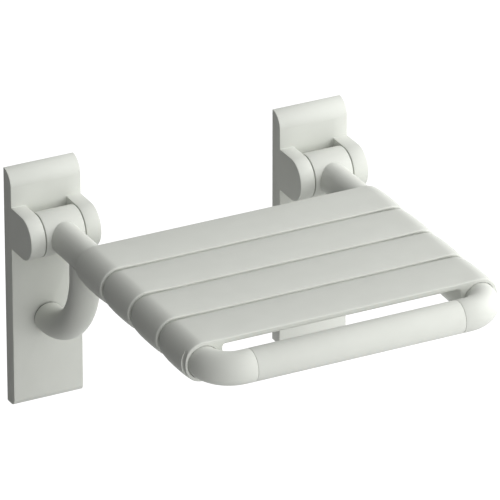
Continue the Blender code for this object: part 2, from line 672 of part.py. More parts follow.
def slat_section():
    """Cross-section of a slat in (x, z): a board whose ends close round the side tubes.

    Each point comes with its outward normal, the round of its edge and its share of the crown.
    """
    half = []
    for step in range(SHOULDER_STEPS):
        blend = step / SHOULDER_STEPS
        edge = BOARD_EDGE_ROUND + blend * (RING_EDGE_ROUND - BOARD_EDGE_ROUND)
        half.append((HALF_PITCH - SLAT_SHOULDER * (1 - blend), SLAT_TOP, (0, 1), edge, 1))
    for step in range(RING_STEPS + 1):
        turn = 270 * step / RING_STEPS
        normal = (math.sin(math.radians(turn)), math.cos(math.radians(turn)))
        share = min(1, (270 - turn) / 90)
        spot = (HALF_PITCH + SLAT_TOP * normal[0], SLAT_TOP * normal[1])
        half.append((*spot, normal, RING_EDGE_ROUND, share))
    inner = HALF_PITCH - SLAT_TOP
    underside = SLAT_TOP - SLAT_THICKNESS
    for step in range(FILLET_STEPS + 1):
        blend = step / FILLET_STEPS
        angle = math.radians(90 * blend)
        normal = (-math.cos(angle), -math.sin(angle))
        edge = RING_EDGE_ROUND + blend * (UNDERSIDE_EDGE_ROUND - RING_EDGE_ROUND)
        spot = (inner - SLAT_FILLET * (1 + normal[0]), underside - SLAT_FILLET * (1 + normal[1]))
        half.append((*spot, normal, edge, 0))
    other = [(-x, z, (-normal[0], normal[1]), edge, share) for x, z, normal, edge, share in reversed(half)]
    return half + other


def slat_rear(x):
    """How far a slat's rear lies behind its middle: its ends curve forward to the rings."""
    share = min(max((abs(x) - HALF_PITCH + SLAT_SHOULDER) / SLAT_SHOULDER, 0), 1)
    return SLAT_HALF - RING_SET_BACK * share ** 2 * (3 - 2 * share)


def slat_row(section, middle, way, end_share, turn):
    """A slat's cross-section raised by its crown, at a share of its depth and a turn round its edge."""
    out = 1 - math.cos(turn)
    inwards = 1 - math.sin(turn)
    row = []
    for x, z, normal, edge, share in section:
        depth = slat_rear(x) if way > 0 else SLAT_HALF
        y = end_share * (depth - edge * out)
        fall = max(0, y / depth - CROWN_FLAT) / (1 - CROWN_FLAT)
        rise = SLAT_CROWN * share * (1 - fall) - edge * inwards
        row.append((x + rise * normal[0], middle + way * y, z + rise * normal[1]))
    return row


def strip(upper, lower):
    """Triangles between two rows of points, which may differ in number."""
    faces = []
    above = 0
    below = 0
    while above < len(upper) - 1 or below < len(lower) - 1:
        next_above = (above + 1) / (len(upper) - 1)
        next_below = (below + 1) / (len(lower) - 1)
        if next_above <= next_below:
            faces.append((upper[above], upper[above + 1], lower[below]))
            above += 1
        else:
            faces.append((upper[above], lower[below + 1], lower[below]))
            below += 1
    return faces


def slat_end(row, left_centre, right_centre):
    """Faces that close a slat's end: a fan in each ring, a strip beside it and a face between the strips."""
    faces = []
    inner = []
    for points, centre in ((row, right_centre), (row[::-1], left_centre)):
        shoulder = points[:SHOULDER_STEPS + 1]
        ring = points[SHOULDER_STEPS:SHOULDER_STEPS + RING_STEPS + 1]
        fillet = points[len(row) // 2 - FILLET_STEPS - 1:len(row) // 2]
        faces += [(centre, *pair) for pair in zip(ring, ring[1:] + fillet[:1])]
        faces += strip(shoulder, fillet[::-1] + [centre])
        inner.append((shoulder[0], fillet[-1]))
    return faces + [(*inner[0], *inner[1][::-1])]


def slat_loft(name, rings, middle, collection):
    """Skin over a slat's cross-sections, from its rear to its front.

    The left half of a cross-section mirrors its right half, and so do the diagonals between two of them.
    """
    bm = bmesh.new()
    rows = [[bm.verts.new(place) for place in ring] for ring in rings]
    count = len(rings[0])
    for row, after in zip(rows, rows[1:]):
        for index in range(count):
            corners = [row[index], row[(index + 1) % count], after[(index + 1) % count], after[index]]
            if index >= count // 2:
                corners = corners[1:] + corners[:1]
            bm.faces.new(corners[:3])
            bm.faces.new((corners[0], corners[2], corners[3]))
    for row, y in ((rows[0], middle + RING_REAR), (rows[-1], middle - SLAT_HALF)):
        centres = [bm.verts.new((x, y, 0)) for x in (-HALF_PITCH, HALF_PITCH)]
        for face in slat_end(row, *centres):
            bm.faces.new(face)
    bmesh.ops.recalc_face_normals(bm, faces=bm.faces)
    return mesh_object(name, bm, collection)


def slat(index, middle, parts, cutters, hinge, screw_holes):
    """One slat: soft upper edges, closed round both side tubes, with open ribbed cells below."""
    section = slat_section()
    turns = [math.pi / 2 * step / EDGE_STEPS for step in range(EDGE_STEPS + 1)]
    rear = [slat_row(section, middle, 1, 1, turn) for turn in turns]
    rear.append(slat_row(section, middle, 1, CROWN_FLAT, math.pi / 2))
    front = [slat_row(section, middle, -1, 1, turn) for turn in turns]
    front.append(slat_row(section, middle, -1, CROWN_FLAT, math.pi / 2))
    board = slat_loft("seat_slat_%d" % index, rear + front[::-1], middle, parts)
    ends = [((x, middle + SLAT_PITCH, 0), (x, middle - SLAT_PITCH, 0)) for x in (-HALF_PITCH, HALF_PITCH)]
    bores = rods("slat_%d_tube_bores" % index, RING_BORE, ends, FINE, cutters)
    cells = slat_cells(index, middle, cutters)
    cut(board, as_cutter(bores), as_cutter(cells), *screw_holes)
    if index == SLAT_COUNT:
        for side, sign in (("left", -1), ("right", 1)):
            cut(board, ring_ledge(side, sign, middle - SLAT_HALF, cutters))
    return as_part(board, MOULDED_GREY, hinge)


def ring_ledge(side, sign, front, cutters):
    """Crescent ledge cut into the outer side of the front slat's ring, from its front face back."""
    half_turn = (RING_LEDGE_HIGH - RING_LEDGE_LOW) / 2
    chord = SLAT_TOP * math.sin(half_turn)
    bow = SLAT_TOP * (1 - math.cos(half_turn)) - RING_LEDGE_DEPTH
    radius = (chord ** 2 + bow ** 2) / (2 * bow)
    back = radius - bow - SLAT_TOP * math.cos(half_turn)
    floor_turn = math.degrees(math.asin(chord / radius))
    middle = math.degrees(RING_LEDGE_LOW + RING_LEDGE_HIGH) / 2
    centre = (-back * math.cos(math.radians(middle)), -back * math.sin(math.radians(middle)))
    outer = arc((0, 0), SLAT_TOP + 2 * SLAT_CROWN, math.degrees(RING_LEDGE_LOW),
                math.degrees(RING_LEDGE_HIGH), RING_LEDGE_STEPS)
    floor = arc(centre, radius, middle + floor_turn, middle - floor_turn, RING_LEDGE_STEPS)
    outline = [(sign * (HALF_PITCH + x), z) for x, z in outer + floor]
    place = Matrix.Translation((0, front, 0)) @ ALONG_Y
    return as_cutter(flat_piece(side + "_ring_ledge", outline, 2 * RING_LEDGE_LENGTH, place, cutters))


def slat_cells(index, middle, cutters):
    """Two rows of open cells under a slat, with ribs between them."""
    reach = HALF_PITCH - SLAT_TOP - SLAT_FILLET - SLAT_SKIN
    width = (2 * reach - (SLAT_CELLS - 1) * SLAT_RIB) / SLAT_CELLS
    end = SLAT_HALF - SLAT_EDGE_WALL
    rows = ((middle - end, middle - SLAT_RIB / 2), (middle + SLAT_RIB / 2, middle + end))
    bottom = SLAT_TOP - SLAT_THICKNESS
    ceiling = SLAT_TOP - SLAT_SKIN
    bm = bmesh.new()
    for column in range(SLAT_CELLS):
        left = -reach + column * (width + SLAT_RIB)
        for low, high in rows:
            size = Vector((width, high - low, ceiling - bottom + SLAT_SKIN))
            centre = Vector((left + width / 2, (low + high) / 2, (ceiling + bottom - SLAT_SKIN) / 2))
            bmesh.ops.create_cube(bm, size=1, matrix=Matrix.Translation(centre) @ Matrix.Diagonal((*size, 1)))
    return mesh_object("slat_%d_cells" % index, bm, cutters)


def screw_seat():
    """Height of the underside of a slat screw's head, below the tube's middle."""
    return RING_BORE + SLAT_SCREW_SEAT


def slat_screw_holes(side, x, cutters):
    """Shank holes and head recesses along one side tube."""
    seat = screw_seat()
    shanks = [((x, y, -seat - FIT), (x, y, -CORE_BORE / 2)) for y in slat_middles()]
    shank = SLAT_SCREW_RADIUS + FIT
    holes = rods(side + "_slat_screw_holes", shank, shanks, COARSE, cutters, half_facet(COARSE))
    heads = [((x, y, -2 * SLAT_TOP), (x, y, -seat)) for y in slat_middles()]
    head = SLAT_SCREW_HEAD_RADIUS + FIT
    recesses = rods(side + "_slat_screw_recesses", head, heads, COARSE, cutters, half_facet(COARSE))
    return as_cutter(holes), as_cutter(recesses)


def slat_screws(side, x, parts, hinge):
    """Self-tapping screws up through the slats' rings into the side tube, one to a slat."""
    seat = -screw_seat() - FIT
    point = -CORE_BORE + CORE_WALL / 2
    profile = [(0, point), (SLAT_SCREW_RADIUS / 2, point), (SLAT_SCREW_RADIUS, point - SLAT_SCREW_RADIUS / 2),
               (SLAT_SCREW_RADIUS, seat), (SLAT_SCREW_HEAD_RADIUS, seat),
               (SLAT_SCREW_HEAD_RADIUS, seat - SLAT_SCREW_HEAD), (0, seat - SLAT_SCREW_HEAD)]
    for index, y in enumerate(slat_middles()):
        place = Matrix.Translation((x, y, 0)) @ Matrix.Rotation(half_facet(COARSE), 4, "Z")
        screw = turned("%s_slat_screw_%d" % (side, index + 1), profile, COARSE, place, parts)
        as_part(screw, BRIGHT_STEEL, hinge)


def build():
    clear_scene()
    parts = new_collection("folding_shower_seat")
    cutters = new_collection("cutters")
    hinge = bpy.data.objects.new("seat_hinge", None)
    hinge.location = HINGE
    parts.objects.link(hinge)
    holes = {}
    for side, sign in (("left", -1), ("right", 1)):
        x = sign * HALF_PITCH
        wall_cover(side, x, parts, cutters)
        mounting_plate(side, x, parts, cutters)
        hinge_pin(side, x, parts)
        for label, way in (("outer", sign), ("inner", -sign)):
            disc_spring("%s_%s_disc_spring" % (side, label), x, way, parts)
            hinge_bush("%s_%s_bush" % (side, label), x, way, parts, hinge)
            pin_clip("%s_%s_pin_clip" % (side, label), x, way, parts)
        cover_screw(side, x, parts)
        knuckle(side, x, parts, cutters, hinge)
        holes[side] = slat_screw_holes(side, x, cutters)
        side_tube(side, x, parts, cutters, hinge, holes[side][0])
        elbow(side, sign, parts, cutters, hinge)
        stay(side, x, parts, cutters, hinge)
        slat_screws(side, x, parts, hinge)
    front_bar(parts, cutters, hinge)
    for index, middle in enumerate(slat_middles()):
        slat(index + 1, middle, parts, cutters, hinge, holes["left"] + holes["right"])
    bpy.context.view_layer.update()


build()
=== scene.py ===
"""Looks of a folding shower seat: moulded pieces with fine edges, finishes, light and camera."""

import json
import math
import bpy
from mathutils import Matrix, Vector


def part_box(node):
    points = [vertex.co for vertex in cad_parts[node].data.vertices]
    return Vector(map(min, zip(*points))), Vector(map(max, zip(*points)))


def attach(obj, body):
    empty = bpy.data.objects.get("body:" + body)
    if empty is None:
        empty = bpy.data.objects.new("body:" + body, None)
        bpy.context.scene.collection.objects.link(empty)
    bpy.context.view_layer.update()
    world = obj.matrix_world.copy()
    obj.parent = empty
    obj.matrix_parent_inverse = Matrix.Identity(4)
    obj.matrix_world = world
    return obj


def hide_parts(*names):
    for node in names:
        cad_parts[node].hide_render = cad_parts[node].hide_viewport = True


bl_info = {
    "name": "Folding Shower Seat",
    "version": (1, 0, 0),
    "blender": (4, 5, 0),
    "location": "3D View > Sidebar > Shower Seat",
    "description": "Dresses a folding shower seat and sets up a small studio for it",
    "category": "Object",
}

import bmesh
import bpy
from bpy.props import FloatProperty, FloatVectorProperty, IntProperty, PointerProperty
from bpy.types import Operator, Panel, PropertyGroup
from mathutils import Matrix, Vector

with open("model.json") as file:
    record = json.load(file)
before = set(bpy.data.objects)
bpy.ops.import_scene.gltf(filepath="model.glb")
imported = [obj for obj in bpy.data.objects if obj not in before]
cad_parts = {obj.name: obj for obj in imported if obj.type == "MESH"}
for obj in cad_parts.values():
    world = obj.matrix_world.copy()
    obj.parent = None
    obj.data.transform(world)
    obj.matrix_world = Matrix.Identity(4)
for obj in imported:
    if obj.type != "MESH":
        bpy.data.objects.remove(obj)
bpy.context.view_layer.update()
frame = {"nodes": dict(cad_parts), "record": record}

WALL_BODY = "wall_brackets"
SEAT_BODY = "seat"
SIDES = (("left", -1), ("right", 1))
SLAT_COUNT = 4

# Places and sizes read from the frame
SLEEVE_LOW, SLEEVE_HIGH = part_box("right_side_sleeve")
HUB_LOW, HUB_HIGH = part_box("right_hub")
COVER_LOW, COVER_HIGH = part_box("right_wall_cover")
STAY_LOW, STAY_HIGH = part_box("right_stay")
BAR_LOW, BAR_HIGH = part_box("front_bar_sleeve")
SLAT_LOW, SLAT_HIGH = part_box("seat_slat_1")

HALF_PITCH = (SLEEVE_LOW.x + SLEEVE_HIGH.x) / 2
TUBE_RADIUS = (SLEEVE_HIGH.z - SLEEVE_LOW.z) / 2
HUB_RADIUS = (HUB_HIGH.z - HUB_LOW.z) / 2
HUB_HALF = (HUB_HIGH.x - HUB_LOW.x) / 2
HINGE_OUT = -(HUB_LOW.y + HUB_HIGH.y) / 2
SIDE_END = -SLEEVE_LOW.y
BAR_HALF = BAR_HIGH.x
BAR_OUT = -(BAR_LOW.y + BAR_HIGH.y) / 2
STAY_RADIUS = (STAY_HIGH.x - STAY_LOW.x) / 2
STAY_OUT = -STAY_LOW.y - STAY_RADIUS
STAY_DROP = -STAY_LOW.z - STAY_RADIUS
STAY_END = -STAY_HIGH.y
SLAT_CREST = SLAT_HIGH.z
SLAT_HALF = (SLAT_HIGH.y - SLAT_LOW.y) / 2
FIRST_SLAT = (SLAT_HIGH.y + SLAT_LOW.y) / 2
SLAT_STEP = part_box("seat_slat_2")[1].y - SLAT_HIGH.y

# Local axes of an outline or a profile: its plane is YZ, or its own axis runs along Y
ALONG_X = Matrix(((0, 0, 1), (1, 0, 0), (0, 1, 0))).to_4x4()
ALONG_Y = Matrix(((1, 0, 0), (0, 0, -1), (0, 1, 0))).to_4x4()

# How finely a slat's outline and its crown are divided: steps, turns round the edges, shares of the depth
SHOULDER_STEPS = 8
RING_STEPS = 46
FILLET_STEPS = 6
EDGE_TURNS = [math.radians(15 * step) for step in range(7)]
CURL_TURNS = [math.radians(20 * step - 60) for step in range(3)]
CROWN_SHARES = [0.9, 0.78, 0.64, 0.48, 0.3, 0.1]

# A ring's outline turns this far before the fillet, and the crescent ledge lies between two turns, in degrees
RING_TURN = 270
LEDGE_LOW = -55
LEDGE_HIGH = 40

# The floor's own light ends along this way, and is weaker within this reach of the seat's middle
FADE_WAY = (0.98, -0.2, 0)
FADE_END = -0.1
SHADE_MIDDLE = (0, -0.2, 0)
SHADE_SQUASH = (0.5, 1, 0)
SHADE_REACH = (0.12, 0.34)
FLOOR_HALF = 30
SIDE_LIGHT_PLACE = (1.0, -0.25, 0.5)
SIDE_LIGHT_SIZE = 0.8
SENSOR_WIDTH = 36


class ShowerSeatSizes(PropertyGroup):
    """Sizes of the moulded pieces that the frame's boxes don't give."""

    clearance: FloatProperty(
        name="Clearance", description="Gap between pieces that touch",
        default=0.0003, min=0.0001, max=0.001, precision=4, unit="LENGTH")
    cover_depth: FloatProperty(
        name="Cover depth", description="How far a wall cover stands out from the wall",
        default=0.0167, min=0.01, max=0.03, precision=4, unit="LENGTH")
    cover_wall: FloatProperty(
        name="Cover wall", description="Wall thickness of the hollow covers",
        default=0.003, min=0.001, max=0.005, precision=4, unit="LENGTH")
    cover_foot_round: FloatProperty(
        name="Cover foot round", description="Radius at the front of a cover's foot",
        default=0.007, min=0.001, max=0.012, precision=4, unit="LENGTH")
    cover_edge: FloatProperty(
        name="Cover edge", description="Radius of the covers' fine edges",
        default=0.0006, min=0.0002, max=0.002, precision=4, unit="LENGTH")
    ear_thickness: FloatProperty(
        name="Ear thickness", description="Thickness of the ears on each side of a hub",
        default=0.016, min=0.008, max=0.02, precision=4, unit="LENGTH")
    ear_bore: FloatProperty(
        name="Ear bore", description="Radius of the openings in the ears' inner walls",
        default=0.014, min=0.008, max=0.018, precision=4, unit="LENGTH")
    hub_trim: FloatProperty(
        name="Hub trim", description="How far each end of a hub stands back from its box",
        default=0.0004, min=0, max=0.001, precision=4, unit="LENGTH")
    hub_edge: FloatProperty(
        name="Hub edge", description="Radius of the hubs' end edges",
        default=0.0006, min=0.0002, max=0.002, precision=4, unit="LENGTH")
    tube_wall: FloatProperty(
        name="Sleeve wall", description="Wall thickness of the moulded sleeves",
        default=0.0032, min=0.001, max=0.005, precision=4, unit="LENGTH")
    tube_edge: FloatProperty(
        name="Sleeve edge", description="Radius of the sleeves' end edges, which shows at their joints",
        default=0.0003, min=0.0001, max=0.002, precision=4, unit="LENGTH")
    elbow_radius: FloatProperty(
        name="Elbow radius", description="Radius of the front corners at the middle of the tube",
        default=0.028, min=0.02, max=0.05, precision=4, unit="LENGTH")
    stay_bend: FloatProperty(
        name="Stay bend", description="Radius of the stays at the middle of the tube",
        default=0.084, min=0.05, max=0.1, precision=4, unit="LENGTH")
    stay_wall: FloatProperty(
        name="Stay wall", description="Wall thickness of the stays' jackets",
        default=0.0055, min=0.002, max=0.008, precision=4, unit="LENGTH")
    crest_drop: FloatProperty(
        name="Crest drop", description="How far the slats' middles lie below the top of their box",
        default=0.001, min=0, max=0.002, precision=4, unit="LENGTH")
    board_thickness: FloatProperty(
        name="Board thickness", description="Thickness of a slat between its rings",
        default=0.0072, min=0.005, max=0.015, precision=4, unit="LENGTH")
    slat_rear: FloatProperty(
        name="Slat rear", description="How far a slat's rear face lies behind the middle of its rings",
        default=0.0252, min=0.02, max=0.0297, precision=4, unit="LENGTH")
    front_fall: FloatProperty(
        name="Front fall", description="How far a board's top falls from its middle to its front edge",
        default=0.0018, min=0, max=0.004, precision=4, unit="LENGTH")
    rear_fall: FloatProperty(
        name="Rear fall", description="How far a slat's top falls from its middle to its rear edge",
        default=0.0015, min=0, max=0.004, precision=4, unit="LENGTH")
    ring_fall: FloatProperty(
        name="Ring fall", description="How much smaller a ring is at its front than at its middle",
        default=0.001, min=0, max=0.004, precision=4, unit="LENGTH")
    crown_power: FloatProperty(
        name="Crown fullness", description="Higher values keep the middle of a slat flatter",
        default=2.4, min=1.5, max=6)
    ring_clearance: FloatProperty(
        name="Ring clearance", description="Gap between a slat's rings and the side tubes",
        default=0.0005, min=0.0001, max=0.001, precision=4, unit="LENGTH")
    front_round: FloatProperty(
        name="Front round", description="Radius of the boards' upper front edges",
        default=0.0011, min=0.0005, max=0.0035, precision=4, unit="LENGTH")
    ring_round: FloatProperty(
        name="Ring round", description="Radius of the front edges of the slats' rings",
        default=0.0016, min=0.001, max=0.0035, precision=4, unit="LENGTH")
    rear_round: FloatProperty(
        name="Rear round", description="Radius of the slats' rear edges",
        default=0.0004, min=0.0002, max=0.0015, precision=4, unit="LENGTH")
    underside_round: FloatProperty(
        name="Underside round", description="Radius of the slats' lower front edges",
        default=0.0032, min=0.0005, max=0.004, precision=4, unit="LENGTH")
    shoulder: FloatProperty(
        name="Slat shoulder", description="Length over which a board's edge blends into the ring",
        default=0.024, min=0.01, max=0.04, precision=4, unit="LENGTH")
    slat_fillet: FloatProperty(
        name="Slat fillet", description="Radius between a ring and the board's underside",
        default=0.003, min=0.001, max=0.005, precision=4, unit="LENGTH")
    slat_skin: FloatProperty(
        name="Slat skin", description="Wall thickness round the cells under a slat",
        default=0.003, min=0.001, max=0.004, precision=4, unit="LENGTH")
    slat_rib: FloatProperty(
        name="Slat rib", description="Thickness of the ribs between the cells",
        default=0.002, min=0.001, max=0.004, precision=4, unit="LENGTH")
    slat_cells: IntProperty(
        name="Slat cells", description="Number of cells along a slat", default=6, min=2, max=12)
    slat_edge_wall: FloatProperty(
        name="Slat edge wall", description="Thickness of a slat's long edges beside its cells",
        default=0.004, min=0.002, max=0.006, precision=4, unit="LENGTH")
    ledge_depth: FloatProperty(
        name="Ledge depth", description="Greatest depth of the crescent ledge in the front slat's rings",
        default=0.0014, min=0.0005, max=0.003, precision=4, unit="LENGTH")
    ledge_length: FloatProperty(
        name="Ledge length", description="How far the crescent ledge reaches back from the ring's front face",
        default=0.006, min=0.002, max=0.02, precision=4, unit="LENGTH")


class ShowerSeatFinishes(PropertyGroup):
    """Colours and surface values of the seat's materials."""

    plastic: FloatVectorProperty(
        name="Moulded plastic", description="Colour of the moulded pieces",
        subtype="COLOR", size=3, min=0, max=1, default=(0.64, 0.655, 0.61))
    plastic_shade: FloatVectorProperty(
        name="Plastic mottle", description="Second colour of the moulded pieces, mixed in very faintly",
        subtype="COLOR", size=3, min=0, max=1, default=(0.625, 0.64, 0.595))
    plastic_roughness: FloatProperty(
        name="Plastic roughness", description="Roughness of the moulded pieces",
        subtype="FACTOR", default=0.48, min=0, max=1)
    grain_size: FloatProperty(
        name="Grain size", description="Size of the fine grain on the moulded pieces",
        default=0.0005, min=0.0001, max=0.005, precision=4, unit="LENGTH")
    grain_strength: FloatProperty(
        name="Grain strength", description="Strength of the fine grain",
        subtype="FACTOR", default=0.12, min=0, max=1)
    zinc: FloatVectorProperty(
        name="Zinc", description="Colour of the zinc-plated steel",
        subtype="COLOR", size=3, min=0, max=1, default=(0.58, 0.59, 0.6))
    bright_steel: FloatVectorProperty(
        name="Bright steel", description="Colour of the pins and screws",
        subtype="COLOR", size=3, min=0, max=1, default=(0.62, 0.61, 0.6))
    spring_steel: FloatVectorProperty(
        name="Spring steel", description="Colour of the springs and clips",
        subtype="COLOR", size=3, min=0, max=1, default=(0.16, 0.165, 0.175))
    bearing: FloatVectorProperty(
        name="Bearing plastic", description="Colour of the hinge bushes",
        subtype="COLOR", size=3, min=0, max=1, default=(0.8, 0.78, 0.7))
    rubber: FloatVectorProperty(
        name="Rubber", description="Colour of the stays' buffers",
        subtype="COLOR", size=3, min=0, max=1, default=(0.05, 0.052, 0.05))


class ShowerSeatStage(PropertyGroup):
    """Floor, light and camera."""

    floor_drop: FloatProperty(
        name="Floor drop", description="Height of the hinge above the floor",
        default=0.47, min=0.25, max=1, unit="LENGTH")
    floor_colour: FloatVectorProperty(
        name="Floor", description="Colour of the plain floor",
        subtype="COLOR", size=3, min=0, max=1, default=(0.3, 0.3, 0.3))
    floor_glow: FloatProperty(
        name="Floor glow", description="Own light of the floor behind and to the right of the seat",
        default=0.86, min=0, max=2)
    floor_fade: FloatProperty(
        name="Floor fade", description="Length over which the floor's own light fades out to the front left",
        default=0.3, min=0.1, max=5, unit="LENGTH")
    floor_shade: FloatProperty(
        name="Floor shade", description="Share of the floor's own light that is missing below the seat",
        subtype="FACTOR", default=0.9, min=0, max=1)
    sky_bright: FloatProperty(
        name="Sky bright", description="Brightness of the surroundings on their bright side",
        default=2.42, min=0, max=5)
    sky_fall: FloatProperty(
        name="Sky fall", description="Higher values keep more of the surroundings dark",
        default=2.2, min=0.5, max=6)
    sky_azimuth: FloatProperty(
        name="Sky azimuth", description="Turn of the bright side from straight in front to the right",
        subtype="ANGLE", default=math.radians(52))
    sky_elevation: FloatProperty(
        name="Sky elevation", description="Height of the bright side above the horizon",
        subtype="ANGLE", default=math.radians(5))
    side_power: FloatProperty(
        name="Side light", description="Power of the large soft light on the right",
        default=4.8, min=0, max=500, unit="POWER")
    azimuth: FloatProperty(
        name="Camera azimuth", description="Turn of the camera to the left of straight ahead",
        subtype="ANGLE", default=math.radians(27.114))
    elevation: FloatProperty(
        name="Camera elevation", description="Angle of the camera above the horizon",
        subtype="ANGLE", default=math.radians(25.971))
    roll: FloatProperty(
        name="Camera roll", description="Turn of the camera about its view", subtype="ANGLE",
        default=math.radians(-0.023))
    distance: FloatProperty(
        name="Camera distance", description="Distance from the camera to the point it turns about",
        default=6.5073, min=1, max=20, precision=4, unit="LENGTH")
    pivot: FloatVectorProperty(
        name="Camera pivot", description="Point that the camera turns about",
        subtype="TRANSLATION", size=3, default=(0, -0.17, -0.05), precision=4)
    slide: FloatVectorProperty(
        name="Camera slide", description="How far the camera is moved to its right and up",
        subtype="TRANSLATION", size=2, default=(-0.0011, 0.04638), precision=5)
    focal_length: FloatProperty(
        name="Focal length", description="Focal length of the camera", subtype="DISTANCE_CAMERA",
        default=476.31, min=50, max=1000)


def sizes():
    return bpy.context.scene.shower_seat_sizes


def finishes():
    return bpy.context.scene.shower_seat_finishes


def set_up():
    return bpy.context.scene.shower_seat_stage


def direction(azimuth, elevation):
    """The way that points to the right of straight in front, and above the horizon."""
    level = math.cos(elevation)
    return Vector((math.sin(azimuth) * level, -math.cos(azimuth) * level, math.sin(elevation)))


def arc(centre, radius, start, end, steps):
    """Points of a circular arc, angles in degrees, both ends included."""
    points = []
    for step in range(steps + 1):
        angle = math.radians(start + (end - start) * step / steps)
        points.append((centre[0] + radius * math.cos(angle), centre[1] + radius * math.sin(angle)))
    return points


def new_object(name, bm, matrix=None):
    """An object from a bmesh, with its faces turned outwards and its place in its mesh."""
    bmesh.ops.recalc_face_normals(bm, faces=bm.faces)
    mesh = bpy.data.meshes.new(name)
    bm.to_mesh(mesh)
    bm.free()
    if matrix is not None:
        mesh.transform(matrix)
    obj = bpy.data.objects.new(name, mesh)
    bpy.context.scene.collection.objects.link(obj)
    return obj


def skin(bm, rows, closed=False):
    """Faces between rows of vertices that run round a shape. An open row of rows gets flat ends."""
    count = len(rows[0])
    pairs = list(zip(rows, rows[1:]))
    if closed:
        pairs.append((rows[-1], rows[0]))
    for row, after in pairs:
        for index in range(count):
            following = (index + 1) % count
            bm.faces.new((row[index], row[following], after[following], after[index]))
    if not closed:
        bm.faces.new(rows[0])
        bm.faces.new(rows[-1])


def prism(name, outline, thickness, matrix):
    """A flat outline made as thick as asked, centred on its plane."""
    bm = bmesh.new()
    rows = [[bm.verts.new((u, v, height)) for u, v in outline] for height in (-thickness / 2, thickness / 2)]
    skin(bm, rows)
    return new_object(name, bm, matrix)


def revolved(name, profile, steps, matrix):
    """A closed profile of (radius, height) points that stays off its axis, turned round it."""
    bm = bmesh.new()
    rows = []
    for step in range(steps):
        angle = math.tau * step / steps
        rows.append([bm.verts.new((r * math.cos(angle), r * math.sin(angle), h)) for r, h in profile])
    skin(bm, rows, closed=True)
    return new_object(name, bm, matrix)


def turned_solid(name, profile, steps, matrix):
    """A solid turned piece: (radius, height) points from its upper centre down to its lower one."""
    bm = bmesh.new()
    top = bm.verts.new((0, 0, profile[0][1]))
    bottom = bm.verts.new((0, 0, profile[-1][1]))
    rows = []
    for radius, height in profile:
        turns = [math.tau * step / steps for step in range(steps)]
        rows.append([bm.verts.new((radius * math.cos(t), radius * math.sin(t), height)) for t in turns])
    for row, after in zip(rows, rows[1:]):
        for index in range(steps):
            following = (index + 1) % steps
            bm.faces.new((row[index], row[following], after[following], after[index]))
    for centre, row in ((top, rows[0]), (bottom, rows[-1])):
        for index in range(steps):
            bm.faces.new((centre, row[index], row[(index + 1) % steps]))
    return new_object(name, bm, matrix)


def swept(name, route, radius, plane_normal, edge=0.0, steps=96):
    """A round bar along a flat route. Its end edges are rounded where an edge radius is given."""
    route = [Vector(place) for place in route]
    first = (route[1] - route[0]).normalized()
    last = (route[-1] - route[-2]).normalized()
    stations = []
    if edge:
        for degrees in (0, 30, 60):
            angle = math.radians(degrees)
            along = edge * (1 - math.cos(angle))
            stations.append((route[0] + first * along, first, radius - edge * (1 - math.sin(angle))))
        route[0] = route[0] + first * edge
        route[-1] = route[-1] - last * edge
    for index, place in enumerate(route):
        before = route[max(index - 1, 0)]
        after = route[min(index + 1, len(route) - 1)]
        stations.append((place, (after - before).normalized(), radius))
    if edge:
        for degrees in (60, 30, 0):
            angle = math.radians(degrees)
            along = edge * math.cos(angle)
            stations.append((route[-1] + last * along, last, radius - edge * (1 - math.sin(angle))))
    side = Vector(plane_normal)
    bm = bmesh.new()
    rows = []
    for place, forward, reach in stations:
        up = forward.cross(side)
        turns = [math.tau * step / steps for step in range(steps)]
        rows.append([bm.verts.new(place + reach * (math.cos(t) * side + math.sin(t) * up)) for t in turns])
    skin(bm, rows)
    return new_object(name, bm)


def block(name, low, high):
    """A plain cutter between two corners."""
    low = Vector(low)
    high = Vector(high)
    bm = bmesh.new()
    place = Matrix.Translation((low + high) / 2) @ Matrix.Diagonal((*(high - low), 1))
    bmesh.ops.create_cube(bm, size=1, matrix=place)
    return new_object(name, bm)


def settle(obj):
    """Replace an object's mesh by what its modifiers make of it."""
    bpy.context.view_layer.update()
    evaluated = obj.evaluated_get(bpy.context.evaluated_depsgraph_get())
    mesh = bpy.data.meshes.new_from_object(evaluated)
    old = obj.data
    obj.modifiers.clear()
    obj.data = mesh
    bpy.data.meshes.remove(old)
    return obj


def cut(obj, *cutters):
    """Take the cutters out of the object and remove them."""
    for cutter in cutters:
        boolean = obj.modifiers.new("cut", "BOOLEAN")
        boolean.operation = "DIFFERENCE"
        boolean.object = cutter
        boolean.solver = "EXACT"
    settle(obj)
    for cutter in cutters:
        bpy.data.objects.remove(cutter, do_unlink=True)
    return obj


def round_edges(obj, width, angle, segments):
    """Round the object's edges that are sharper than the angle, in degrees."""
    modifier = obj.modifiers.new("edges", "BEVEL")
    modifier.width = width
    modifier.segments = segments
    modifier.limit_method = "ANGLE"
    modifier.angle_limit = math.radians(angle)
    return settle(obj)


def tidy(obj):
    """Merge doubled points, drop faces without area and shade the piece smooth up to an angle."""
    near = 0.000001
    bm = bmesh.new()
    bm.from_mesh(obj.data)
    bmesh.ops.remove_doubles(bm, verts=bm.verts, dist=near)
    bmesh.ops.dissolve_degenerate(bm, edges=bm.edges, dist=near)
    bm.to_mesh(obj.data)
    bm.free()
    obj.data.shade_smooth()
    obj.data.set_sharp_from_angle(angle=math.radians(32))


def dress(obj, body, material, node):
    """Finish a piece: its mesh, its material, the body that it moves with and the node that it stands for."""
    tidy(obj)
    obj.data.materials.clear()
    obj.data.materials.append(material)
    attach(obj, body)
    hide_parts(node)


def dress_moulding(obj, body, node):
    dress(obj, body, moulded_plastic(), node)


def node_tree(name):
    """A new node material, its tree, its shader and the object coordinates."""
    material = bpy.data.materials.new(name)
    material.use_nodes = True
    tree = material.node_tree
    shader = tree.nodes["Principled BSDF"]
    place = tree.nodes.new("ShaderNodeTexCoord")
    return material, tree, shader, place.outputs["Object"]


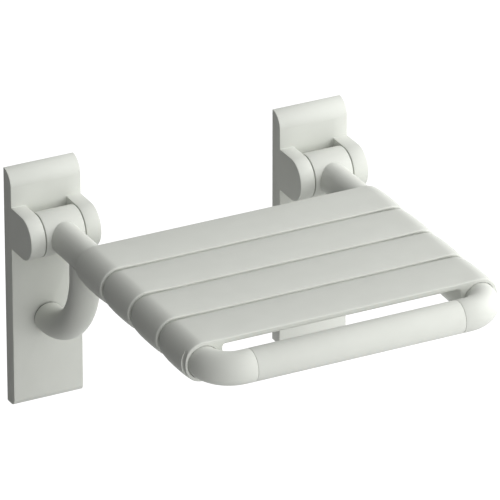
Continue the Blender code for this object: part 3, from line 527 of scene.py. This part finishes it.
def noise(tree, place, scale, detail=2.0, rough=0.5):
    node = tree.nodes.new("ShaderNodeTexNoise")
    node.inputs["Scale"].default_value = scale
    node.inputs["Detail"].default_value = detail
    node.inputs["Roughness"].default_value = rough
    tree.links.new(place, node.inputs["Vector"])
    return node.outputs["Fac"]


def ramp(tree, value, low, high):
    """Colours between two ends of a texture's value."""
    node = tree.nodes.new("ShaderNodeValToRGB")
    for element, position, colour in zip(node.color_ramp.elements, (0.35, 0.65), (low, high)):
        element.position = position
        element.color = (*colour, 1)
    tree.links.new(value, node.inputs["Fac"])
    return node.outputs["Color"]


def spread(tree, value, low, high, start=0.3, end=0.7, smooth=False):
    """A value between start and end, spread between low and high."""
    node = tree.nodes.new("ShaderNodeMapRange")
    if smooth:
        node.interpolation_type = "SMOOTHSTEP"
    for name, number in (("From Min", start), ("From Max", end), ("To Min", low), ("To Max", high)):
        node.inputs[name].default_value = number
    tree.links.new(value, node.inputs["Value"])
    return node.outputs["Result"]


def vector_step(tree, operation, place, other=(0, 0, 0)):
    """One step of arithmetic on a place. It gives a place or, for a length or a product, a number."""
    node = tree.nodes.new("ShaderNodeVectorMath")
    node.operation = operation
    node.inputs[1].default_value = other
    tree.links.new(place, node.inputs[0])
    return node.outputs["Value" if operation in ("DOT_PRODUCT", "LENGTH") else "Vector"]


def number_step(tree, operation, value, other):
    """One step of arithmetic on a value and a number, or on two values."""
    node = tree.nodes.new("ShaderNodeMath")
    node.operation = operation
    tree.links.new(value, node.inputs[0])
    if isinstance(other, float):
        node.inputs[1].default_value = other
    else:
        tree.links.new(other, node.inputs[1])
    return node.outputs["Value"]


def bump(tree, shader, height, strength, distance):
    node = tree.nodes.new("ShaderNodeBump")
    node.inputs["Strength"].default_value = strength
    node.inputs["Distance"].default_value = distance
    tree.links.new(height, node.inputs["Height"])
    tree.links.new(node.outputs["Normal"], shader.inputs["Normal"])


def moulded_plastic():
    """Light grey plastic with a fine moulded grain and a hardly visible mottle."""
    known = bpy.data.materials.get("moulded_grey_plastic")
    if known is not None:
        return known
    look = finishes()
    material, tree, shader, place = node_tree("moulded_grey_plastic")
    mottle = noise(tree, place, 45.0, 3.0)
    tree.links.new(ramp(tree, mottle, look.plastic_shade, look.plastic), shader.inputs["Base Color"])
    smear = noise(tree, place, 90.0, 4.0)
    rough = look.plastic_roughness
    tree.links.new(spread(tree, smear, rough - 0.04, rough + 0.05), shader.inputs["Roughness"])
    grain = noise(tree, place, 1 / look.grain_size, 2.0, 0.6)
    bump(tree, shader, grain, look.grain_strength, look.grain_size / 10)
    shader.inputs["IOR"].default_value = 1.46
    shader.inputs["Specular IOR Level"].default_value = 0.35
    return material


def steel(name, colour, rough, scale):
    """Drawn or plated steel with faint streaks along its length.

    A material that has the name already is used as it is, and the frame brings a plain "bright_steel".
    """
    known = bpy.data.materials.get(name)
    if known is not None:
        return known
    material, tree, shader, place = node_tree(name)
    stretch = tree.nodes.new("ShaderNodeMapping")
    stretch.inputs["Scale"].default_value = (1.0, 0.12, 1.0)
    tree.links.new(place, stretch.inputs["Vector"])
    streaks = noise(tree, stretch.outputs["Vector"], scale, 4.0, 0.6)
    dark = [channel * 0.88 for channel in colour]
    tree.links.new(ramp(tree, streaks, dark, colour), shader.inputs["Base Color"])
    tree.links.new(spread(tree, streaks, rough - 0.06, rough + 0.08), shader.inputs["Roughness"])
    bump(tree, shader, streaks, 0.1, 0.00005)
    shader.inputs["Metallic"].default_value = 1.0
    return material


def soft_solid(name, colour, rough, scale, strength):
    """Rubber or bearing plastic: a speckled colour over a fine bump.

    A material that has the name already is used as it is, and the frame brings a plain "grey_rubber".
    """
    known = bpy.data.materials.get(name)
    if known is not None:
        return known
    material, tree, shader, place = node_tree(name)
    speckle = noise(tree, place, scale, 3.0)
    dark = [channel * 0.9 for channel in colour]
    tree.links.new(ramp(tree, speckle, dark, colour), shader.inputs["Base Color"])
    tree.links.new(spread(tree, speckle, rough - 0.05, rough + 0.05), shader.inputs["Roughness"])
    bump(tree, shader, speckle, strength, 0.0001)
    return material


def zinc_steel():
    return steel("zinc_plated_steel", finishes().zinc, 0.36, 420.0)


def bright_steel():
    return steel("bright_steel", finishes().bright_steel, 0.22, 600.0)


def spring_steel():
    return steel("dark_spring_steel", finishes().spring_steel, 0.4, 500.0)


def bearing_plastic():
    return soft_solid("natural_bearing_plastic", finishes().bearing, 0.42, 300.0, 0.1)


def rubber():
    return soft_solid("grey_rubber", finishes().rubber, 0.78, 900.0, 0.25)


def cover_outline(inset, with_ears):
    """Side view of a wall cover in (y, z): a slab that curves back to the wall at its top."""
    size = sizes()
    depth = size.cover_depth
    rise = COVER_HIGH.z
    bottom = COVER_LOW.z + inset
    foot = size.cover_foot_round - inset
    points = arc((0, rise - depth), depth - inset, 90, 180, 28)
    if with_ears:
        nose = HUB_RADIUS - inset
        points += [(inset - depth, nose)]
        points += arc((-HINGE_OUT, 0), nose, 90, 270, 56)
        points += [(inset - depth, -nose)]
    points += arc((foot - depth + inset, bottom + foot), foot, 180, 270, 12)
    return points + [(0, bottom)]


class ShowerSeatCovers(Operator):
    """Build the moulded wall covers with their hollow ears"""

    bl_idname = "shower_seat.covers"
    bl_label = "Wall Covers"

    def execute(self, context):
        size = sizes()
        width = COVER_HIGH.x - COVER_LOW.x
        inner = width / 2 - size.ear_thickness
        wall = size.cover_wall
        depth = size.cover_depth
        for side, sign in SIDES:
            x = sign * HALF_PITCH
            at_side = Matrix.Translation((x, 0, 0)) @ ALONG_X
            cover = prism(side + "_cover_shell", cover_outline(0, True), width, at_side)
            far = HINGE_OUT + 2 * HUB_RADIUS
            cut(cover, block("slot", (x - inner, -far, -2 * HUB_RADIUS), (x + inner, -depth, 2 * HUB_RADIUS)))
            round_edges(cover, size.cover_edge, 50, 3)
            hollow = prism("hollow", cover_outline(wall, False), width - 2 * wall, at_side)
            half = width / 2 - wall
            mouth = block("mouth", (x - half, -wall, COVER_LOW.z + wall),
                          (x + half, wall, COVER_HIGH.z - 2 * wall))
            cutters = [hollow, mouth]
            for way in (-1, 1):
                middle = x + way * (width / 2 - size.ear_thickness / 2)
                outline = arc((-HINGE_OUT, 0), HUB_RADIUS - wall, 90, 270, 40)
                outline += [(-wall, wall - HUB_RADIUS), (-wall, HUB_RADIUS - wall)]
                place = Matrix.Translation((middle, 0, 0)) @ ALONG_X
                cutters.append(prism("pocket", outline, size.ear_thickness - 2 * wall, place))
            for way in (-1, 1):
                ends = [(x + way * (inner - wall), -HINGE_OUT, 0), (x + way * (inner + wall), -HINGE_OUT, 0)]
                cutters.append(swept("bore", ends, size.ear_bore, (0, 0, 1), steps=64))
            low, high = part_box(side + "_cover_screw")
            middle = (low.y + high.y) / 2
            head = (high.x - low.x) / 2 + size.clearance
            recess = [(x, middle, low.z - head), (x, middle, low.z + head * 0.5)]
            cutters.append(swept("screw recess", recess, head, (1, 0, 0), steps=48))
            hole = [(x, middle, low.z - head), (x, middle, low.z + 2 * wall)]
            cutters.append(swept("screw hole", hole, head * 0.62, (1, 0, 0), steps=32))
            for cutter in cutters:
                cut(cover, cutter)
            dress_moulding(cover, WALL_BODY, side + "_wall_cover")
        return {"FINISHED"}


class ShowerSeatHubs(Operator):
    """Build the moulded hubs between the ears"""

    bl_idname = "shower_seat.hubs"
    bl_label = "Hubs"

    def execute(self, context):
        size = sizes()
        low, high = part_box("right_hub_barrel")
        bore = (high.z - low.z) / 2 + size.clearance
        edge = size.hub_edge
        half = HUB_HALF - size.hub_trim
        upper = arc((HUB_RADIUS - edge, half - edge), edge, 90, 0, 4)
        profile = [(bore, half)] + upper + [(r, -h) for r, h in reversed(upper)] + [(bore, -half)]
        core_low, core_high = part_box("right_side_tube")
        core = (core_high.x - core_low.x) / 2 + size.clearance
        for side, sign in SIDES:
            x = sign * HALF_PITCH
            place = Matrix.Translation((x, -HINGE_OUT, 0)) @ ALONG_X
            hub = revolved(side + "_hub_moulding", profile, 128, place)
            ends = [(x, -HINGE_OUT, 0), (x, -HINGE_OUT - 2 * HUB_RADIUS, 0)]
            cut(hub, swept("tube hole", ends, core, (1, 0, 0)))
            dress_moulding(hub, SEAT_BODY, side + "_hub")
        return {"FINISHED"}


class ShowerSeatFrame(Operator):
    """Build the moulded sleeves of the side tubes, the front corners and the front bar"""

    bl_idname = "shower_seat.frame"
    bl_label = "Tube Frame"

    def execute(self, context):
        size = sizes()
        bore = TUBE_RADIUS - size.tube_wall
        stay_low, stay_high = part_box("right_stay_tube")
        stay_core = (stay_high.x - stay_low.x) / 2 + size.clearance
        for side, sign in SIDES:
            x = sign * HALF_PITCH
            ends = [(x, -HINGE_OUT, 0), (x, -SIDE_END, 0)]
            sleeve = swept(side + "_side_moulding", ends, TUBE_RADIUS, (0, 0, 1), size.tube_edge)
            far = HUB_HALF * 2
            hub = swept("hub", [(x - far, -HINGE_OUT, 0), (x + far, -HINGE_OUT, 0)],
                        HUB_RADIUS + size.clearance, (0, 0, 1), steps=128)
            inside = swept("bore", [(x, 0, 0), (x, -BAR_OUT, 0)], bore, (0, 0, 1))
            ends = [(x, -STAY_OUT, 0), (x, -STAY_OUT, -2 * TUBE_RADIUS)]
            joint = swept("stay hole", ends, stay_core, (1, 0, 0))
            for cutter in (hub, inside, joint):
                cut(sleeve, cutter)
            dress_moulding(sleeve, SEAT_BODY, side + "_side_sleeve")
            self.build_elbow(side, sign, bore)
        ends = [(-BAR_HALF, -BAR_OUT, 0), (BAR_HALF, -BAR_OUT, 0)]
        bar = swept("front_bar_moulding", ends, TUBE_RADIUS, (0, 0, 1), size.tube_edge)
        cut(bar, swept("bore", [(-2 * BAR_HALF, -BAR_OUT, 0), (2 * BAR_HALF, -BAR_OUT, 0)], bore, (0, 0, 1)))
        dress_moulding(bar, SEAT_BODY, "front_bar_sleeve")
        return {"FINISHED"}

    def build_elbow(self, side, sign, bore):
        size = sizes()
        radius = size.elbow_radius
        turn = arc((HALF_PITCH - radius, radius - BAR_OUT), radius, 0, -90, 36)
        gap = size.clearance
        for name, past in ((side + "_elbow_moulding", 0.0), ("bore", TUBE_RADIUS)):
            route = [(sign * HALF_PITCH, -SIDE_END - gap + past, 0)]
            route += [(sign * px, py, 0) for px, py in turn]
            route += [(sign * (BAR_HALF + gap - past), -BAR_OUT, 0)]
            if past:
                inside = swept(name, route, bore, (0, 0, 1))
            else:
                elbow = swept(name, route, TUBE_RADIUS, (0, 0, 1), size.tube_edge)
        cut(elbow, inside)
        dress_moulding(elbow, SEAT_BODY, side + "_elbow")


class ShowerSeatStays(Operator):
    """Build the curved stays and the rubber buffers at their ends"""

    bl_idname = "shower_seat.stays"
    bl_label = "Stays and Buffers"

    def execute(self, context):
        size = sizes()
        bend = size.stay_bend
        turn = arc((bend - STAY_OUT, bend - STAY_DROP), bend, 180, 270, 60)
        for side, sign in SIDES:
            x = sign * HALF_PITCH
            bar = [(x, -STAY_OUT, 0)] + [(x, y, z) for y, z in turn] + [(x, -STAY_END, -STAY_DROP)]
            stay = swept(side + "_stay_moulding", bar, STAY_RADIUS, (1, 0, 0), size.tube_edge)
            past = [(x, -STAY_OUT, STAY_RADIUS)] + bar[1:-1] + [(x, 0, -STAY_DROP)]
            inside = swept("bore", past, STAY_RADIUS - size.stay_wall, (1, 0, 0))
            along = [(x, -STAY_OUT - 2 * STAY_RADIUS, 0), (x, -STAY_OUT + 2 * STAY_RADIUS, 0)]
            tube = swept("tube", along, TUBE_RADIUS + size.clearance, (0, 0, 1), steps=128)
            cut(stay, tube)
            cut(stay, inside)
            dress_moulding(stay, SEAT_BODY, side + "_stay")
            self.build_buffer(side, x)
        return {"FINISHED"}

    def build_buffer(self, side, x):
        low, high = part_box(side + "_stay_buffer")
        radius = (high.x - low.x) / 2
        face = -high.y
        back = STAY_END - sizes().clearance
        edge = (back - face) / 4
        stem = radius * 0.4
        tip = 0.0001
        profile = [(tip, -face)] + arc((radius - edge, -face - edge), edge, 90, 0, 4)
        profile += arc((radius - edge, edge - back), edge, 0, -90, 4)
        profile += [(stem, -back), (stem, low.y + edge), (stem - edge, low.y)]
        place = Matrix.Translation((x, 0, -STAY_DROP)) @ Matrix.Rotation(-math.pi / 2, 4, "X")
        buffer = turned_solid(side + "_rubber_buffer", profile, 72, place)
        dress(buffer, SEAT_BODY, rubber(), side + "_stay_buffer")


def slat_crest():
    """Height of the slats' middles, which is also the radius of their rings there."""
    return SLAT_CREST - sizes().crest_drop


def slat_section():
    """Cross-section of a slat's middle in (x, z): right shoulder, ring, underside, and then the left half.

    Each point has its outward normal, its front edge's radius, and its falls to the front and the rear.
    """
    size = sizes()
    crest = slat_crest()
    half = []
    for step in range(SHOULDER_STEPS):
        share = step / SHOULDER_STEPS
        blend = share * share * (3 - 2 * share)
        edge = size.front_round + blend * (size.ring_round - size.front_round)
        fall = size.front_fall + blend * (size.ring_fall - size.front_fall)
        half.append((HALF_PITCH - size.shoulder * (1 - share), crest, (0, 1), edge, fall, size.rear_fall))
    inner_radius = crest - size.ring_fall
    for step in range(RING_STEPS + 1):
        turn = RING_TURN * step / RING_STEPS
        share = min(1, (RING_TURN - turn) / 90)
        radius = inner_radius + share * size.ring_fall
        normal = (math.sin(math.radians(turn)), math.cos(math.radians(turn)))
        spot = (HALF_PITCH + radius * normal[0], radius * normal[1])
        half.append((*spot, normal, size.ring_round, share * size.ring_fall, share * size.rear_fall))
    inner = HALF_PITCH - inner_radius - size.slat_fillet
    under = inner_radius - size.board_thickness - size.slat_fillet
    for step in range(FILLET_STEPS + 1):
        share = step / FILLET_STEPS
        angle = math.radians(90 * share)
        normal = (-math.cos(angle), -math.sin(angle))
        spot = (inner - size.slat_fillet * normal[0], under - size.slat_fillet * normal[1])
        edge = size.ring_round + share * (size.underside_round - size.ring_round)
        half.append((*spot, normal, edge, 0, 0))
    other = [(-x, z, (-normal[0], normal[1]), *rest) for x, z, normal, *rest in reversed(half)]
    return half + other


def slat_row(section, middle, way, along, turn):
    """A slat's cross-section at a share of its depth, or at a turn round its rear or front edge."""
    size = sizes()
    depth = size.slat_rear if way > 0 else SLAT_HALF
    row = []
    for x, z, normal, front_edge, front_fall, rear_fall in section:
        own = turn if front_edge <= size.ring_round else max(turn, 0)
        out = 1 - math.cos(own)
        inwards = 1 - math.sin(own)
        edge, fall = (size.rear_round, rear_fall) if way > 0 else (front_edge, front_fall)
        y = along * (depth - edge * out)
        rise = -fall * (y / depth) ** size.crown_power - edge * inwards
        row.append((x + rise * normal[0], middle + way * y, z + rise * normal[1]))
    return row


class ShowerSeatSlats(Operator):
    """Build the four slats with their soft edges, rings, cells and screw seats"""

    bl_idname = "shower_seat.slats"
    bl_label = "Slats"

    def execute(self, context):
        size = sizes()
        section = slat_section()
        for number in range(1, SLAT_COUNT + 1):
            middle = FIRST_SLAT + (number - 1) * SLAT_STEP
            slat = self.build_board(number, middle, section)
            cut(slat, self.build_cells(middle))
            for sign in (-1, 1):
                x = sign * HALF_PITCH
                bore = TUBE_RADIUS + size.ring_clearance
                ends = [(x, middle - 2 * SLAT_HALF, 0), (x, middle + 2 * SLAT_HALF, 0)]
                cut(slat, swept("ring bore", ends, bore, (0, 0, 1)))
                self.cut_screw_seat(slat, x, number)
                if number == SLAT_COUNT:
                    cut(slat, self.build_ledge(sign, middle - SLAT_HALF))
            dress_moulding(slat, SEAT_BODY, "seat_slat_%d" % number)
        return {"FINISHED"}

    def build_board(self, number, middle, section):
        """The whole slat as a skin over its cross-sections, from its rear to its front.

        The front edges curl under where the next slat's rear edge stands before them.
        """
        places = []
        for way in (1, -1):
            turns = CURL_TURNS + EDGE_TURNS if way < 0 and number < SLAT_COUNT else EDGE_TURNS
            half = [slat_row(section, middle, way, 1, turn) for turn in turns]
            half += [slat_row(section, middle, way, along, math.pi / 2) for along in CROWN_SHARES]
            places += half if way > 0 else half[::-1]
        bm = bmesh.new()
        rows = [[bm.verts.new(place) for place in row] for row in places]
        skin(bm, rows)
        bmesh.ops.recalc_face_normals(bm, faces=bm.faces)
        bmesh.ops.triangulate(bm, faces=bm.faces, ngon_method="EAR_CLIP")
        return new_object("slat_%d_moulding" % number, bm)

    def build_cells(self, middle):
        size = sizes()
        radius = slat_crest() - size.ring_fall
        reach = HALF_PITCH - radius - size.slat_fillet - size.slat_skin
        width = (2 * reach - (size.slat_cells - 1) * size.slat_rib) / size.slat_cells
        bottom = radius - size.board_thickness
        ceiling = radius - size.slat_skin
        rib = (size.slat_rear - SLAT_HALF) / 2
        near = size.slat_rib / 2
        edge = size.slat_edge_wall
        rows = ((edge - SLAT_HALF, rib - near), (rib + near, size.slat_rear - edge))
        bm = bmesh.new()
        for column in range(size.slat_cells):
            left = -reach + column * (width + size.slat_rib)
            for low, high in rows:
                height = (ceiling + bottom - size.slat_skin) / 2
                centre = (left + width / 2, middle + (low + high) / 2, height)
                shape = Matrix.Diagonal((width, high - low, ceiling - bottom + size.slat_skin, 1))
                bmesh.ops.create_cube(bm, size=1, matrix=Matrix.Translation(centre) @ shape)
        return new_object("cells", bm)

    def cut_screw_seat(self, slat, x, number):
        low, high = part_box("left_slat_screw_%d" % number)
        y = (low.y + high.y) / 2
        head = (high.x - low.x) / 2 + sizes().clearance
        seat = low.z + head * 0.45
        cut(slat, swept("head recess", [(x, y, -2 * SLAT_CREST), (x, y, seat)], head, (1, 0, 0), steps=48))
        cut(slat, swept("shank hole", [(x, y, seat - head), (x, y, 0)], head * 0.56, (1, 0, 0), steps=32))

    def build_ledge(self, sign, front):
        """Cutter for the crescent ledge in the outer side of the front slat's ring."""
        size = sizes()
        radius = slat_crest() - size.ring_fall
        half_turn = math.radians(LEDGE_HIGH - LEDGE_LOW) / 2
        middle = math.radians(LEDGE_HIGH + LEDGE_LOW) / 2
        chord = radius * math.sin(half_turn)
        bow = radius * (1 - math.cos(half_turn)) - size.ledge_depth
        floor_radius = (chord ** 2 + bow ** 2) / (2 * bow)
        back = floor_radius - bow - radius * math.cos(half_turn)
        floor_turn = math.degrees(math.asin(chord / floor_radius))
        centre = (-back * math.cos(middle), -back * math.sin(middle))
        outer = arc((0, 0), radius + 2 * size.ring_fall, LEDGE_LOW, LEDGE_HIGH, 40)
        turned = math.degrees(middle)
        floor = arc(centre, floor_radius, turned + floor_turn, turned - floor_turn, 40)
        outline = [(sign * (HALF_PITCH + px), pz) for px, pz in outer + floor]
        place = Matrix.Translation((0, front, 0)) @ ALONG_Y
        return prism("ledge", outline, 2 * size.ledge_length, place)


class ShowerSeatScrews(Operator):
    """Build the slat screws and the covers' screws with their driver recesses"""

    bl_idname = "shower_seat.screws"
    bl_label = "Screws"

    def execute(self, context):
        for side, sign in SIDES:
            for number in range(1, SLAT_COUNT + 1):
                node = "%s_slat_screw_%d" % (side, number)
                self.build_screw(node, node + "_detail", SEAT_BODY, "bright_steel", bright_steel(), 0.5)
            node = side + "_cover_screw"
            self.build_screw(node, node + "_detail", WALL_BODY, "zinc_steel", zinc_steel(), 0.57)
        return {"FINISHED"}

    def build_screw(self, node, name, body, slot, material, shank_share):
        """A domed head below, a shank with thread ridges above and a cross recess in the head."""
        low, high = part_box(node)
        centre = Vector(((low.x + high.x) / 2, (low.y + high.y) / 2, 0))
        head = (high.x - low.x) / 2
        shank = head * shank_share
        thickness = head * 0.42
        top = high.z - low.z
        core = shank * 0.8
        profile = [(shank * 0.3, top), (core, top - core)]
        ridges = 7
        pitch = (top - core - thickness) / ridges
        for ridge in range(ridges):
            height = top - core - pitch * (ridge + 0.5)
            profile += [(shank, height + pitch * 0.12), (shank, height - pitch * 0.12)]
            profile += [(core, height - pitch * 0.5)]
        profile += [(core, thickness), (head, thickness)]
        profile += [(head * math.cos(math.radians(a)), thickness * (1 - math.sin(math.radians(a))))
                    for a in (15, 35, 55, 75)]
        screw = turned_solid(name, profile, 40, Matrix.Translation((centre.x, centre.y, low.z)))
        arm = head * 0.55
        slit = head * 0.11
        deep = thickness * 0.7
        for reach_x, reach_y in ((arm, slit), (slit, arm)):
            cut(screw, block("recess", (centre.x - reach_x, centre.y - reach_y, low.z - deep),
                             (centre.x + reach_x, centre.y + reach_y, low.z + deep)))
        dress(screw, body, material, node)


class ShowerSeatInnerParts(Operator):
    """Give the steel, spring and bearing pieces inside the seat their finishes"""

    bl_idname = "shower_seat.inner_parts"
    bl_label = "Inner Pieces"

    def execute(self, context):
        makers = {
            "moulded_grey": moulded_plastic,
            "zinc_steel": zinc_steel,
            "bright_steel": bright_steel,
            "spring_steel": spring_steel,
            "bearing_plastic": bearing_plastic,
            "grey_rubber": rubber,
        }
        slots = {entry["node"]: entry["material_slot"] for entry in frame["record"]["subparts"]}
        for name, obj in frame["nodes"].items():
            obj.data.materials.clear()
            obj.data.materials.append(makers[slots[name]]())
        return {"FINISHED"}


class ShowerSeatStudio(Operator):
    """Set up the floor, the light and the camera"""

    bl_idname = "shower_seat.studio"
    bl_label = "Studio"

    def execute(self, context):
        self.build_floor()
        self.build_surroundings()
        self.build_side_light()
        self.build_camera()
        context.scene.view_settings.view_transform = "Standard"
        return {"FINISHED"}

    def build_floor(self):
        stage = set_up()
        bm = bmesh.new()
        bmesh.ops.create_grid(bm, x_segments=4, y_segments=4, size=FLOOR_HALF)
        floor = new_object("plain_floor", bm, Matrix.Translation((0, 0, -stage.floor_drop)))
        material, tree, shader, place = node_tree("plain_floor")
        pale = stage.floor_colour
        soft = [channel * 0.99 for channel in pale]
        tree.links.new(ramp(tree, noise(tree, place, 3.0), soft, pale), shader.inputs["Base Color"])
        shader.inputs["Roughness"].default_value = 0.9
        shader.inputs["Specular IOR Level"].default_value = 0.1
        shader.inputs["Emission Color"].default_value = (1, 1, 1, 1)
        # The floor's glow is painted light: it fades out towards the front left, and a painted shadow weakens
        # it below the seat
        across = vector_step(tree, "DOT_PRODUCT", place, FADE_WAY)
        start = FADE_END - stage.floor_fade
        fade = spread(tree, across, 0, stage.floor_glow, start, FADE_END, smooth=True)
        from_middle = vector_step(tree, "SUBTRACT", place, SHADE_MIDDLE)
        away = vector_step(tree, "LENGTH", vector_step(tree, "MULTIPLY", from_middle, SHADE_SQUASH))
        shade = spread(tree, away, 1 - stage.floor_shade, 1, *SHADE_REACH, smooth=True)
        tree.links.new(number_step(tree, "MULTIPLY", fade, shade), shader.inputs["Emission Strength"])
        floor.data.materials.append(material)

    def build_surroundings(self):
        """A plain soft surround, bright at the front right and dim at the back left."""
        stage = set_up()
        world = bpy.data.worlds.new("soft_surroundings")
        bpy.context.scene.world = world
        world.use_nodes = True
        tree = world.node_tree
        place = tree.nodes.new("ShaderNodeTexCoord").outputs["Generated"]
        bright = direction(stage.sky_azimuth, stage.sky_elevation)
        share = spread(tree, vector_step(tree, "DOT_PRODUCT", place, bright), 0, 1, -1, 1)
        fall = number_step(tree, "POWER", share, stage.sky_fall)
        strength = number_step(tree, "MULTIPLY", fall, stage.sky_bright)
        background = tree.nodes["Background"]
        tree.links.new(strength, background.inputs["Strength"])
        background.inputs["Color"].default_value = (1, 1, 1, 1)

    def build_side_light(self):
        light = bpy.data.lights.new("side_light", "AREA")
        light.energy = set_up().side_power
        light.size = SIDE_LIGHT_SIZE
        lamp = bpy.data.objects.new("side_light", light)
        lamp.location = SIDE_LIGHT_PLACE
        lamp.rotation_euler = (Vector(SHADE_MIDDLE) - lamp.location).to_track_quat("-Z", "Y").to_euler()
        bpy.context.scene.collection.objects.link(lamp)

    def build_camera(self):
        stage = set_up()
        back = direction(-stage.azimuth, stage.elevation)
        turn = (-back).to_track_quat("-Z", "Y") @ Matrix.Rotation(stage.roll, 3, "Z").to_quaternion()
        right = turn @ Vector((1, 0, 0))
        up = turn @ Vector((0, 1, 0))
        camera = bpy.data.cameras.new("photo_camera")
        camera.lens = stage.focal_length
        camera.sensor_width = SENSOR_WIDTH
        camera.clip_end = 100
        rig = bpy.data.objects.new("photo_camera", camera)
        across, upwards = stage.slide
        rig.location = Vector(stage.pivot) + back * stage.distance + right * across + up * upwards
        rig.rotation_mode = "QUATERNION"
        rig.rotation_quaternion = turn
        bpy.context.scene.collection.objects.link(rig)
        bpy.context.scene.camera = rig


STEPS = (
    ShowerSeatCovers,
    ShowerSeatHubs,
    ShowerSeatFrame,
    ShowerSeatStays,
    ShowerSeatSlats,
    ShowerSeatScrews,
    ShowerSeatInnerParts,
    ShowerSeatStudio,
)


class ShowerSeatPanel(Panel):
    """Lists the seat's sizes, finishes, stage values and steps"""

    bl_idname = "VIEW3D_PT_shower_seat"
    bl_label = "Shower Seat"
    bl_space_type = "VIEW_3D"
    bl_region_type = "UI"
    bl_category = "Shower Seat"

    def draw(self, context):
        layout = self.layout
        for title, group in (("Sizes", context.scene.shower_seat_sizes),
                             ("Finishes", context.scene.shower_seat_finishes),
                             ("Stage", context.scene.shower_seat_stage)):
            column = layout.column(align=True)
            column.label(text=title)
            for prop in group.bl_rna.properties:
                if prop.identifier not in ("rna_type", "name"):
                    column.prop(group, prop.identifier)
        column = layout.column(align=True)
        for step in STEPS:
            column.operator(step.bl_idname)


CLASSES = (ShowerSeatSizes, ShowerSeatFinishes, ShowerSeatStage, *STEPS, ShowerSeatPanel)


def register():
    for cls in CLASSES:
        bpy.utils.register_class(cls)
    bpy.types.Scene.shower_seat_sizes = PointerProperty(type=ShowerSeatSizes)
    bpy.types.Scene.shower_seat_finishes = PointerProperty(type=ShowerSeatFinishes)
    bpy.types.Scene.shower_seat_stage = PointerProperty(type=ShowerSeatStage)


def unregister():
    del bpy.types.Scene.shower_seat_stage
    del bpy.types.Scene.shower_seat_finishes
    del bpy.types.Scene.shower_seat_sizes
    for cls in reversed(CLASSES):
        bpy.utils.unregister_class(cls)


def main():
    register()
    bpy.ops.shower_seat.covers()
    bpy.ops.shower_seat.hubs()
    bpy.ops.shower_seat.frame()
    bpy.ops.shower_seat.stays()
    bpy.ops.shower_seat.slats()
    bpy.ops.shower_seat.screws()
    bpy.ops.shower_seat.inner_parts()
    bpy.ops.shower_seat.studio()


if __name__ == "__main__":
    main()
